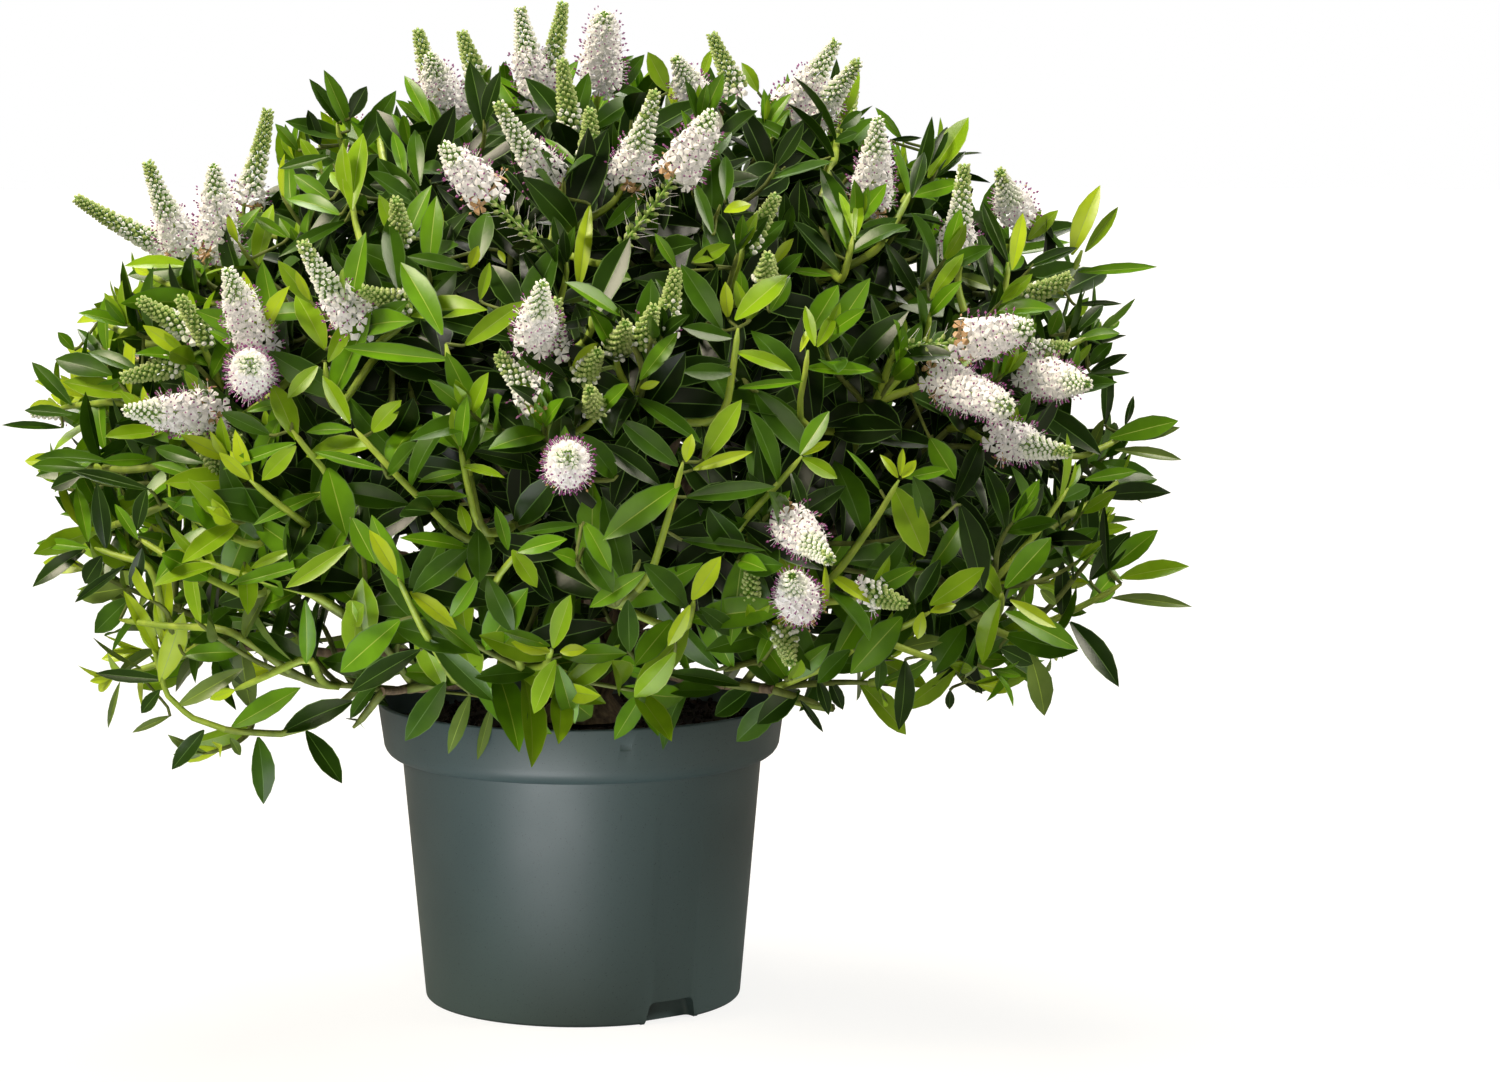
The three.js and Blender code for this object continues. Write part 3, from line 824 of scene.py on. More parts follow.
def growMainShoots(masses):
    # one long shoot for each that the part's solids have
    s = shootSetting
    for shoot in layOutShoots():
        draw = seededDraw(shoot["index"])
        direction = shoot["direction"]
        reach = crownReach(direction) - s["inset"] + wander(draw, 2 * s["jitter"])
        tip = shoot["tip"] or direction * reach + crownMiddle
        mass = nearestMass(tip, masses)
        lift = s["lift"] * (s["lowLift"] if direction.z < s["lowUnder"] else 1)
        endHeading = (direction + upward * lift).normalized()
        tip = drawnIn(tip, mass, masses, s["margin"])
        shoot.update(tip=tip, endHeading=endHeading, draw=draw, mass=mass)
        mass["shoots"].append(shoot)
    for mass in masses:
        start = Vector(mass["path"][-1])
        end = start + mass["endHeading"] * s["stemLength"]
        steps = s["stemSteps"]
        mass["stem"] = np.array([start.lerp(end, i / steps) for i in range(steps + 1)])
        low, high = s["branches"]
        for i, shoot in enumerate(mass["shoots"]):
            root = start.lerp(end, low + (high - low) * (i + 1) / len(mass["shoots"]))
            length = (shoot["tip"] - root).length
            bent = shoot["tip"] - shoot["endHeading"] * length * s["arrive"]
            leave = root.lerp(shoot["tip"], s["leave"])
            shoot["path"] = bezierPath(root, leave, bent, shoot["tip"], s["steps"])
    return [shoot for mass in masses for shoot in mass["shoots"]]


masses = layOutMasses()
mainShoots = growMainShoots(masses)
reportStage("limbs and main shoots laid out")


# Flower spikes on the front: pixels of the tip and of the foot, then the shares of the length
# up to which it is over and up to which it is open. The rest is in bud.
spikesSeen = [
    (418, 30, 438, 95, 0, 0.2), (430, 55, 457, 122, 0, 0.72), (462, 32, 482, 86, 0, 0.05),
    (520, 8, 540, 108, 0, 0.55), (563, 3, 546, 84, 0, 0.1), (562, 60, 572, 128, 0, 0),
    (604, 14, 600, 84, 0, 0.97), (590, 110, 590, 160, 0, 0), (655, 92, 624, 184, 0, 0.4),
    (498, 103, 556, 186, 0, 0.42), (443, 145, 562, 262, 0.56, 0.97), (713, 112, 622, 245, 0.5, 0.96),
    (676, 58, 706, 112, 0, 0.6), (712, 34, 740, 92, 0, 0.05), (836, 42, 778, 120, 0, 0.58),
    (858, 62, 806, 122, 0, 0.4), (878, 120, 870, 208, 0, 0.62), (964, 165, 955, 258, 0, 0.3),
    (1000, 172, 1018, 214, 0, 0.4), (1070, 276, 1018, 300, 0, 0), (776, 196, 744, 246, 0, 0),
    (768, 256, 766, 282, 0, 0), (76, 198, 176, 250, 0, 0.15), (148, 163, 186, 250, 0, 0.4),
    (214, 166, 220, 254, 0, 0.66), (268, 110, 244, 206, 0, 0.16), (228, 270, 260, 350, 0, 0.68),
    (302, 242, 362, 330, 0, 0.42), (396, 200, 402, 240, 0, 0), (362, 290, 408, 304, 0, 0),
    (400, 322, 376, 300, 0, 0), (140, 300, 196, 332, 0, 0.1), (180, 298, 212, 340, 0, 0),
    (122, 378, 182, 362, 0, 0), (250, 362, 252, 376, 0, 0.97), (126, 410, 218, 410, 0, 0.62),
    (218, 470, 200, 432, 0, 0), (240, 440, 200, 436, 0, 0), (542, 284, 534, 346, 0, 0.6),
    (556, 300, 552, 350, 0, 0.1), (498, 354, 544, 404, 0, 0.3), (676, 270, 662, 332, 0, 0.06),
    (654, 308, 640, 342, 0, 0), (626, 324, 616, 350, 0, 0), (598, 352, 584, 376, 0, 0),
    (568, 455, 568, 466, 0, 0.97), (590, 390, 596, 410, 0, 0), (1032, 326, 898, 348, 0.42, 0.97),
    (1068, 346, 1016, 352, 0, 0.2), (1010, 408, 936, 376, 0, 0.9), (1088, 384, 1030, 372, 0, 0.66),
    (1070, 452, 1000, 436, 0, 0.4), (830, 560, 788, 518, 0, 0.5), (904, 604, 868, 590, 0, 0.1),
    (790, 662, 784, 632, 0, 0), (752, 566, 748, 614, 0, 0), (792, 576, 800, 606, 0, 0.7),
]
spikeSetting = {
    "inset": 0.010,  # its foot is this far inside the shoots' tips
    "openLength": 0.060,  # least length with open flowers, and in bud
    "budLength": 0.030, "openFrom": 0.35, "longer": 1.04, "stalk": 0.014,
    "shared": 0.024,  # feet this near to each other are on one shoot
    "lift": 0.8, "lowLift": 0.3,
    "tipBack": 0.004,  # the shoot ends this far behind the foot and this far out
    "tipOut": 0.006,
}

# Leafy shoots whose stems show on the front: pixels of the tip and of a place lower on the stem
stemsSeen = [
    (683, 462, 655, 562), (738, 328, 727, 405), (444, 332, 478, 520), (802, 456, 752, 512),
    (899, 480, 850, 556), (853, 236, 845, 272), (552, 648, 546, 664), (694, 600, 688, 626),
    (518, 552, 498, 576), (460, 446, 476, 520), (398, 578, 448, 670), (325, 362, 330, 402),
    (292, 430, 326, 472), (346, 420, 454, 532), (580, 282, 592, 322), (808, 350, 800, 400),
    (1009, 262, 1002, 300), (930, 312, 925, 342), (912, 190, 880, 245), (838, 128, 820, 205),
    (350, 192, 366, 262), (60, 408, 112, 402), (95, 548, 142, 562), (138, 538, 245, 596),
    (1068, 488, 1002, 572), (1002, 592, 994, 622), (930, 612, 886, 634), (1130, 432, 1084, 456),
    (1140, 572, 1062, 616), (1086, 240, 1062, 292), (948, 664, 880, 640), (1052, 655, 990, 628),
    (868, 642, 770, 690), (335, 112, 345, 160), (60, 460, 120, 470), (100, 320, 150, 345),
    (150, 275, 200, 300), (380, 118, 385, 170), (160, 500, 250, 545), (120, 620, 215, 628),
    (200, 560, 300, 590), (110, 678, 165, 662), (235, 690, 300, 660), (250, 480, 300, 520),
    (1120, 480, 1060, 520), (935, 150, 905, 200), (845, 95, 835, 150), (1100, 330, 1060, 350),
    (70, 540, 130, 520), (310, 640, 352, 600),
]
stemSetting = {"footInset": 0.014, "arch": 0.04}
# Other shoots on the front that are seen end on
rosettesSeen = [
    (500, 300), (645, 380), (575, 560), (640, 560), (770, 380), (830, 330), (655, 420), (585, 215),
    (425, 255), (310, 300), (470, 410), (880, 640), (960, 560), (940, 520), (960, 150), (720, 205),
    (150, 600), (372, 640), (430, 690), (480, 690), (565, 690), (640, 690), (705, 680), (620, 300),
    (700, 120), (590, 290), (650, 75), (60, 380), (540, 480), (620, 470), (740, 560), (790, 640),
    (1030, 420), (1100, 350), (1090, 300), (230, 520), (180, 480), (260, 560),
]
rosetteSetting = {"apart": 0.018, "lift": 0.6}
# A long shoot that hangs past the rim, by its stem's pixels
trailSeen = {
    "pixels": [
        (352, 694), (318, 724), (280, 734), (230, 731), (190, 717), (166, 694), (158, 664), (150, 632),
    ],
    "forward": -0.115,
    "direction": Vector((-0.7, -0.5, 0.5)),
}
# The leaves' outline from the front, in pixels clockwise from the lower left
outlineSeen = [
    (270, 812), (170, 772), (78, 684), (95, 600), (26, 584), (26, 535), (60, 505), (22, 462), (4, 424),
    (20, 400), (30, 352), (60, 325), (84, 300), (120, 262), (175, 240), (240, 215), (270, 180), (275, 120),
    (305, 80), (325, 68), (360, 84), (395, 84), (402, 70), (470, 62), (560, 68), (650, 46), (690, 62),
    (760, 60), (858, 70), (872, 104), (905, 128), (972, 110), (978, 150), (1015, 178), (1056, 205),
    (1092, 182), (1120, 205), (1110, 250), (1160, 266), (1124, 300), (1124, 330), (1134, 352), (1128, 395),
    (1182, 412), (1196, 455), (1155, 512), (1108, 500), (1150, 525), (1190, 560), (1196, 602), (1130, 615),
    (1128, 680), (1062, 640), (1058, 716), (1010, 690), (940, 716), (905, 734), (850, 690), (826, 732),
    (770, 700), (760, 745), (600, 745), (490, 762), (400, 745), (345, 790),
]
# Openings that the sky shows through: pixel and radius in pixels
openingsSeen = [
    (325, 678, 9), (1082, 412, 14), (287, 675, 8), (258, 722, 9), (1044, 602, 9), (211, 711, 8),
    (328, 614, 8), (612, 624, 8), (172, 698, 7), (198, 676, 7), (916, 145, 6), (410, 547, 8),
    (988, 189, 5), (887, 129, 6), (330, 640, 9),
]
# Single leaves that show on the front, by tone: pixels of the root and of the tip, and the width
leavesSeen = {"lime": [
    (160, 682, 184, 614, 26), (162, 642, 163, 576, 20), (158, 655, 130, 592, 17), (590, 205, 577, 287, 17),
    (686, 462, 690, 434, 14), (692, 470, 752, 451, 13), (572, 368, 599, 342, 13), (640, 388, 658, 382, 9),
    (728, 318, 725, 284, 14), (774, 264, 792, 238, 12), (724, 212, 752, 200, 14),
    (1012, 270, 1022, 214, 16), (1072, 255, 1095, 184, 22), (550, 652, 512, 642, 17),
    (560, 652, 584, 648, 14), (410, 592, 457, 623, 18), (692, 600, 722, 556, 22), (690, 605, 667, 650, 16),
    (825, 566, 826, 612, 9), (830, 575, 870, 600, 15), (930, 612, 958, 602, 12), (923, 612, 916, 640, 17),
    (1010, 600, 1055, 628, 15), (898, 478, 883, 455, 10), (900, 476, 903, 448, 8),
    (902, 478, 916, 460, 14), (803, 455, 831, 442, 10), (800, 352, 812, 322, 8), (396, 575, 372, 530, 18),
    (772, 622, 797, 622, 10), (498, 250, 505, 262, 10), (470, 268, 478, 246, 12),
], "fresh": [
    (296, 440, 273, 378, 25), (296, 446, 260, 480, 20), (318, 366, 287, 398, 18), (350, 424, 322, 377, 18),
    (328, 362, 352, 318, 17), (350, 545, 287, 588, 19), (293, 550, 245, 568, 11), (245, 562, 250, 613, 22),
    (352, 210, 359, 128, 27), (465, 345, 522, 301, 22), (325, 350, 298, 289, 26), (668, 92, 647, 52, 20),
    (702, 78, 712, 50, 11), (758, 92, 744, 62, 14), (842, 120, 857, 68, 16), (855, 240, 840, 182, 9),
    (855, 238, 862, 190, 12), (735, 320, 789, 270, 26), (692, 262, 728, 244, 16), (928, 178, 971, 113, 24),
    (1085, 252, 1118, 206, 13), (1028, 240, 1058, 210, 15), (930, 300, 964, 252, 16),
    (703, 460, 743, 400, 26), (512, 550, 538, 588, 20), (462, 466, 503, 474, 12), (553, 648, 572, 594, 22),
    (556, 660, 532, 714, 25), (736, 352, 794, 366, 16), (893, 486, 928, 558, 34),
    (1000, 600, 972, 668, 26), (930, 605, 984, 568, 24), (802, 458, 838, 478, 17),
    (460, 505, 468, 535, 14), (1120, 578, 1188, 562, 22), (675, 652, 632, 710, 26),
    (372, 432, 396, 401, 22), (480, 300, 490, 262, 12), (440, 236, 438, 204, 11), (748, 320, 735, 282, 14),
    (750, 320, 768, 277, 15), (815, 346, 805, 305, 12), (817, 347, 836, 312, 14),
], "bright": [
    (74, 350, 58, 332, 12), (125, 378, 80, 401, 14), (152, 459, 103, 460, 14), (198, 478, 150, 460, 14),
    (88, 542, 77, 482, 16), (138, 540, 115, 505, 12), (88, 548, 30, 540, 13), (185, 655, 238, 648, 22),
    (296, 443, 221, 468, 16), (290, 402, 246, 407, 12), (352, 430, 301, 426, 14), (384, 346, 342, 351, 12),
    (384, 470, 313, 451, 11), (328, 468, 346, 532, 34), (320, 494, 255, 519, 16), (352, 518, 374, 562, 24),
    (322, 560, 232, 587, 17), (400, 620, 335, 674, 33), (305, 600, 311, 676, 18), (350, 130, 325, 70, 18),
    (298, 150, 276, 124, 12), (340, 215, 283, 186, 20), (330, 200, 292, 172, 18), (288, 238, 252, 214, 12),
    (430, 125, 406, 70, 16), (425, 125, 398, 98, 12), (443, 140, 428, 98, 14), (405, 180, 393, 125, 14),
    (442, 335, 402, 254, 28), (582, 172, 540, 128, 8), (770, 312, 793, 276, 16), (808, 335, 838, 284, 26),
    (790, 270, 832, 275, 9), (676, 268, 656, 233, 12), (600, 270, 632, 280, 28), (902, 140, 876, 107, 10),
    (912, 196, 960, 184, 18), (1078, 272, 1158, 268, 12), (1078, 340, 1123, 327, 14),
    (1050, 335, 1060, 310, 22), (1110, 438, 1179, 420, 24), (1085, 480, 1138, 470, 14),
    (930, 438, 955, 478, 26), (680, 484, 603, 535, 34), (645, 572, 590, 608, 22), (584, 522, 612, 568, 22),
    (518, 552, 565, 537, 20), (508, 550, 498, 508, 14), (468, 548, 405, 532, 18), (462, 472, 418, 480, 12),
    (412, 495, 470, 497, 12), (450, 360, 344, 350, 20), (640, 380, 678, 333, 20), (550, 646, 501, 632, 14),
    (412, 600, 483, 656, 22), (478, 575, 450, 622, 18), (672, 620, 635, 665, 26), (645, 690, 614, 740, 22),
    (738, 388, 803, 380, 10), (805, 368, 873, 372, 17), (800, 455, 830, 412, 22), (880, 490, 852, 450, 7),
    (905, 478, 948, 470, 14), (232, 727, 303, 688, 25), (1005, 612, 1085, 648, 26),
    (1005, 588, 1052, 536, 28), (1110, 570, 1157, 528, 24), (902, 617, 850, 672, 34),
    (562, 656, 624, 652, 22), (775, 625, 757, 660, 14), (558, 665, 575, 725, 22), (742, 305, 743, 273, 14),
], "middle": [
    (112, 375, 52, 354, 25), (108, 368, 77, 318, 14), (72, 405, 31, 361, 16), (140, 372, 84, 345, 16),
    (72, 415, 22, 407, 13), (62, 428, 2, 424, 9), (108, 462, 23, 447, 16), (85, 468, 25, 462, 16),
    (205, 463, 145, 444, 16), (130, 598, 91, 634, 24), (270, 435, 221, 413, 18), (300, 548, 330, 558, 16),
    (342, 125, 310, 79, 14), (362, 150, 392, 90, 22), (348, 138, 286, 120, 20), (330, 156, 278, 168, 12),
    (345, 222, 282, 248, 14), (450, 140, 475, 113, 16), (420, 186, 411, 123, 18), (398, 290, 387, 220, 24),
    (478, 262, 485, 208, 28), (468, 270, 405, 252, 16), (610, 95, 645, 55, 18), (820, 160, 745, 110, 13),
    (840, 128, 865, 110, 14), (835, 142, 858, 132, 12), (725, 200, 728, 152, 16), (713, 235, 694, 183, 14),
    (645, 190, 607, 228, 16), (678, 466, 620, 419, 24), (635, 398, 701, 437, 20), (644, 564, 692, 608, 28),
    (686, 497, 776, 488, 20), (584, 548, 613, 592, 27), (580, 525, 520, 530, 12), (472, 545, 412, 592, 26),
    (478, 530, 480, 580, 26), (535, 672, 478, 674, 22), (430, 640, 497, 706, 24), (445, 682, 406, 742, 27),
    (488, 578, 510, 635, 24), (700, 608, 743, 637, 20), (742, 686, 670, 668, 16), (720, 690, 665, 690, 18),
    (732, 338, 681, 328, 18), (735, 372, 681, 372, 18), (682, 540, 766, 551, 14), (258, 737, 270, 805, 25),
    (880, 655, 881, 694, 16), (965, 625, 932, 670, 34), (850, 650, 815, 682, 22),
    (1090, 365, 1110, 340, 20), (1085, 375, 1130, 372, 8), (628, 600, 630, 652, 23),
    (722, 330, 683, 262, 26), (377, 684, 344, 719, 17),
], "deep": [
    (80, 476, 50, 488, 23), (150, 490, 70, 469, 14), (106, 548, 97, 486, 19), (137, 530, 144, 490, 18),
    (85, 550, 29, 581, 19), (102, 556, 80, 588, 20), (125, 566, 70, 603, 9), (142, 548, 131, 592, 15),
    (306, 731, 341, 784, 24), (204, 730, 170, 770, 18), (283, 732, 346, 697, 26), (160, 690, 139, 714, 14),
    (165, 680, 97, 674, 14), (420, 650, 348, 692, 24), (350, 118, 366, 86, 18), (320, 145, 308, 110, 14),
    (412, 190, 380, 173, 14), (520, 310, 490, 262, 30), (833, 115, 837, 60, 12), (890, 140, 922, 138, 6),
    (930, 165, 950, 122, 12), (935, 178, 966, 148, 12), (912, 198, 924, 146, 15), (828, 250, 798, 210, 10),
    (1008, 262, 980, 196, 14), (1025, 268, 1078, 246, 14), (920, 300, 890, 246, 16),
    (992, 290, 978, 225, 16), (1078, 330, 1105, 302, 14), (1075, 305, 1122, 303, 6),
    (1090, 372, 1128, 355, 12), (1105, 425, 1110, 360, 14), (1125, 425, 1135, 396, 8),
    (660, 486, 606, 441, 24), (566, 378, 515, 347, 20), (545, 470, 476, 447, 20), (752, 688, 716, 716, 26),
    (800, 690, 755, 722, 29), (790, 470, 812, 518, 14), (905, 660, 906, 732, 22),
    (1000, 648, 1034, 664, 24), (1070, 622, 1124, 680, 26), (1090, 580, 1130, 530, 24),
    (1063, 618, 1062, 560, 18), (818, 680, 830, 715, 14), (830, 680, 843, 710, 14),
    (800, 700, 824, 732, 8), (960, 505, 990, 595, 33), (1108, 572, 1103, 505, 6), (940, 560, 915, 605, 20),
    (950, 690, 950, 710, 14),
], "pale": [
    (178, 706, 240, 670, 19), (170, 716, 132, 732, 9), (120, 682, 106, 728, 6), (470, 695, 447, 754, 16),
    (492, 705, 477, 760, 12), (998, 290, 957, 273, 14), (1130, 440, 1180, 427, 12),
    (1115, 450, 1187, 455, 12), (1090, 455, 1102, 420, 13), (1030, 655, 1052, 715, 28),
    (1112, 598, 1192, 600, 13), (945, 640, 900, 645, 18), (1040, 590, 1058, 604, 12),
    (230, 738, 242, 756, 10),
]}
leavesSeenSetting = {
    "inset": 0.010,  # their roots lie this far inside the shoots' tips
    "tipInset": -0.004, "stemStep": 0.006,
    "onStem": 10,  # pixels; a root this near to a stem is moved on to it
    "behind": 0.03,  # but not to a stem that is this much further away
    "steepest": 0.45,  # most depth for its shown length
    "clear": 0.36,  # share of the width that other leaves keep from covering
    "nearer": 0.004,  # a leaf that is nearer by this much covers it
    "hangUnder": 640,  # pixels; leaves at the outline that are rooted lower hang straight down
    "twigSteps": 6,
}
# Pixels kept from the outline, and how a tip is drawn in until it keeps them
outlineSetting = {
    "tipInside": 14, "stemInside": 10, "leafOutside": 6, "leafHalf": 7,
    "tries": 14, "inward": 0.035, "fewestPoints": 5,
}
# How a sight line is followed through the crown, in metres
sightSetting = {"from": 1.85, "step": 0.0016, "steps": 500}
# How a side shoot leaves its main shoot and reaches its tip, and which one it may leave
branchSetting = {
    "along": 0.6, "leave": 0.33, "arrive": 0.42, "steps": 10, "through": 0.35, "throughSteps": 8,
    "furthest": 0.17, "shortest": 0.035, "points": (3, 12), "bendCost": 2.2,
}
# Where each kind of shoot starts in number; main and fine shoots start at 0
indexFrom = {"inner": 700, "spike": 1000, "stem": 1100, "trail": 1190, "rosette": 1200}

fineSetting = {
    "count": 430, "lowest": -0.66, "inset": 0.030, "shoulder": 0.014, "left": 0.004,
    "jitter": 0.012, "apart": 0.033,
    "sparse": 1.12,  # low down at the sides the shoots stand this much further apart
    "lowUnder": -0.2, "sideFrom": 0.3, "lift": 1.0, "lowLift": 0.35, "clearOfPot": 0.02,
    "besideSpike": 0.030,  # nearer to a spike than this a shoot stays shorter
    "shorter": 0.028,
    # shoots that stay inside, in the shade
    "innerCount": 150, "innerLowest": 0.8, "innerInset": 0.105, "innerApart": 0.030, "innerLift": 0.5,
}
backSpikeSetting = {
    "every": 6,  # one fine shoot in so many flowers
    "racemes": 2, "upFrom": 0.05, "foot": 0.012, "bend": 0.5, "lean": 26, "stand": 0.016,
    "length": 0.052, "longer": 0.014, "less": 0.2, "open": 0.9, "seedStep": 5,
}


def fineInset(direction):
    # leaf tips keep further in at the crown's shoulders and on its left
    f = fineSetting
    level = hypot(direction.x, direction.y)
    shoulder = max(2 * direction.z * level, 0)
    return f["inset"] + f["shoulder"] * shoulder + f["left"] * max(-direction.x, 0)


def pointSeen(pixelX, pixelY, inset):
    # where the sight line through a pixel meets the crown's surface, drawn in by an inset, or
    # comes nearest to it
    ray, s, nearest = sightLine(pixelX, pixelY), sightSetting, None
    for i in range(s["steps"]):
        point = eye + ray * (s["from"] + i * s["step"])
        out = point - crownMiddle
        direction = out.normalized()
        over = out.length - (crownReach(direction) - fineInset(direction) - inset)
        if nearest is None or over < nearest[0]:
            nearest = (over, point)
        if over < 0:
            break
    return nearest[1]


def insideOutline(pixel):
    # how far inside the outline a pixel lies; less than 0 outside
    corners = np.array(outlineSeen, dtype=float)
    ends = np.roll(corners, -1, axis=0)
    ways = ends - corners
    share = np.clip(((pixel - corners) * ways).sum(axis=1) / (ways ** 2).sum(axis=1), 0, 1)
    distance = np.linalg.norm(corners + ways * share[:, None] - pixel, axis=1).min()
    passes = (corners[:, 1] > pixel[1]) != (ends[:, 1] > pixel[1])
    steps = np.where(ways[:, 1] == 0, 1, ways[:, 1])
    crossing = corners[:, 0] + (pixel[1] - corners[:, 1]) / steps * ways[:, 0]
    inside = (passes & (crossing > pixel[0])).sum() % 2 == 1
    return distance if inside else -distance


def endInside(shoot):
    # a shoot ends before it would show beyond the outline
    path, o = shoot["path"], outlineSetting
    while len(path) > o["fewestPoints"] and insideOutline(pixelOf(path[-1])) < o["stemInside"]:
        path = path[:-1]
    shoot.update(path=path, tip=Vector(path[-1]))


def drawnInside(tip):
    # draws a shoot's tip in until its leaves stay in the outline
    o = outlineSetting
    for _ in range(o["tries"]):
        if insideOutline(pixelOf(tip)) > o["tipInside"]:
            break
        tip = tip.lerp(crownMiddle, o["inward"])
    return tip


def branchPlace(tip, mains):
    # the place on a main shoot from which a side shoot reaches a tip without a sharp turn
    best, b = None, branchSetting
    for main in mains:
        if (main["tip"] - tip).length > b["furthest"]:
            continue
        for i in range(b["points"][0], min(b["points"][1], len(main["path"]))):
            root = Vector(main["path"][i])
            way = tip - root
            if way.length < b["shortest"]:
                continue
            along = Vector(main["path"][i] - main["path"][i - 1]).normalized()
            bend = 1 - along.dot(way.normalized())
            cost = way.length * (1 + b["bendCost"] * bend)
            if best is None or cost < best[0]:
                best = (cost, root, along, main, i)
    if best is None:
        return None
    root, along, main, i = best[1:]
    main["reach"] = max(main.get("reach", 0), pathLength(main["path"][:i + 1]))
    return root, along, main


def growSideShoot(index, tip, direction, lift, mains, shoots):
    # adds a shoot if a main shoot can carry it
    endHeading = (direction + upward * lift).normalized()
    found = branchPlace(tip, mains)
    if found is None:
        return None
    root, along, main = found
    b, length = branchSetting, (tip - root).length
    leave = root + (along * b["along"] + (tip - root).normalized() * (1 - b["along"])) * length * b["leave"]
    path = bezierPath(root, leave, tip - endHeading * length * b["arrive"], tip, b["steps"])
    shoots.append(sideShoot(index, tip, direction, path, main))
    return shoots[-1]


def sideShoot(index, tip, direction, path, main):
    return {
        "index": index, "tip": tip, "direction": direction, "path": path, "mass": main["mass"],
        "draw": seededDraw(seedFrom["sideShoot"] + index), "spikes": [], "fine": True,
    }


def growThrough(index, points, direction, mains):
    # a shoot that runs through given points, from the main shoot that is nearest in reach
    found = branchPlace(points[0], mains)
    if found is None:
        return None
    root, along, main = found
    b, length = branchSetting, (points[0] - root).length
    onward = (points[1] - points[0]).normalized()
    leave, arrive = root + along * length * b["through"], points[0] - onward * length * b["through"]
    start = bezierPath(root, leave, arrive, points[0], b["throughSteps"])
    path = np.vstack([start] + [np.array(point)[None] for point in points[1:]])
    return sideShoot(index, points[-1], direction, path, main)


def farFromAll(point, shoots, least):
    return all((shoot["tip"] - point).length > least for shoot in shoots)


def growSpikeShoots(mains):
    # each spike that shows stands on a shoot of its own, or shares its neighbour's
    s, shoots = spikeSetting, []
    for i, (tipX, tipY, footX, footY, over, isOpen) in enumerate(spikesSeen):
        foot = pointSeen(footX, footY, s["inset"])
        ray = sightLine(tipX, tipY)
        away = (foot - eye).length
        beside = eye + ray * away
        shown = (beside - foot).length
        length = max(shown * s["longer"], s["openLength"] if isOpen > s["openFrom"] else s["budLength"])
        towards = sqrt(max(length ** 2 - shown ** 2, 0))
        tip = beside - ray * towards
        direction = (foot - crownMiddle).normalized()
        spike = {"foot": foot, "tip": tip, "over": over, "open": isOpen, "seed": seedFrom["spike"] + i}
        sharing = [shoot for shoot in shoots if (shoot["spikes"][0]["foot"] - foot).length < s["shared"]]
        if sharing:
            sharing[0]["spikes"].append(spike)
            continue
        lift = s["lift"] if direction.z > fineSetting["lowUnder"] else s["lowLift"]
        shootTip = foot - (tip - foot).normalized() * s["tipBack"] + direction * s["tipOut"]
        shoot = growSideShoot(indexFrom["spike"] + i, shootTip, direction, lift, mains, shoots)
        if shoot:
            shoot["spikes"].append(spike)
    return shoots


def growStemShoots(mains):
    s, shoots = stemSetting, []
    for i, (tipX, tipY, footX, footY) in enumerate(stemsSeen):
        tip, foot = pointSeen(tipX, tipY, 0), pointSeen(footX, footY, s["footInset"])
        direction = (tip - crownMiddle).normalized()
        middle = foot.lerp(tip, 0.5) + direction * (tip - foot).length * s["arch"]
        shoot = growThrough(indexFrom["stem"] + i, [foot, middle, tip], direction, mains)
        if shoot:
            shoots.append(shoot)
    points = []
    for pixel in trailSeen["pixels"]:
        ray = sightLine(*pixel)
        points.append(eye + ray * (trailSeen["forward"] - eye.y) / ray.y)
    trail = growThrough(indexFrom["trail"], points, trailSeen["direction"], mains)
    trail["bare"] = True  # but for the leaves that are placed one by one
    return shoots + [trail]


def growRosetteShoots(mains, taken):
    s, shoots = rosetteSetting, []
    for i, (pixelX, pixelY) in enumerate(rosettesSeen):
        tip = pointSeen(pixelX, pixelY, 0)
        if not farFromAll(tip, taken, s["apart"]):
            continue
        direction = (tip - crownMiddle).normalized()
        growSideShoot(indexFrom["rosette"] + i, tip, direction, s["lift"], mains, shoots)
    return shoots


def nearestSpike(point, spikes):
    # distance from the nearest spike's axis
    least = 1
    for spike in spikes:
        way = spike["tip"] - spike["foot"]
        share = min(max((point - spike["foot"]).dot(way) / way.length_squared, 0), 1)
        least = min(least, (spike["foot"] + way * share - point).length)
    return least


def growFineShoots(mains, taken):
    f, shoots = fineSetting, []
    spikes = [spike for shoot in taken for spike in shoot["spikes"]]
    for i, direction in enumerate(spiralDirections(f["count"], f["lowest"])):
        draw = seededDraw(seedFrom["fineTip"] + i)
        reach = crownReach(direction) - fineInset(direction) + wander(draw, 2 * f["jitter"])
        tip = direction * reach + crownMiddle
        if nearestSpike(tip, spikes) < f["besideSpike"]:
            tip = tip - direction * f["shorter"]
        tip = drawnInside(tip)
        atSide = direction.z < f["lowUnder"] and abs(direction.x) > f["sideFrom"]
        apart = f["apart"] * (f["sparse"] if atSide else 1)
        if not farFromAll(tip, taken + shoots, apart) or not clearOfPot(tip, f["clearOfPot"]):
            continue
        lift = f["lift"] if direction.z > f["lowUnder"] else f["lowLift"]
        growSideShoot(i, tip, direction, lift, mains, shoots)
    return shoots


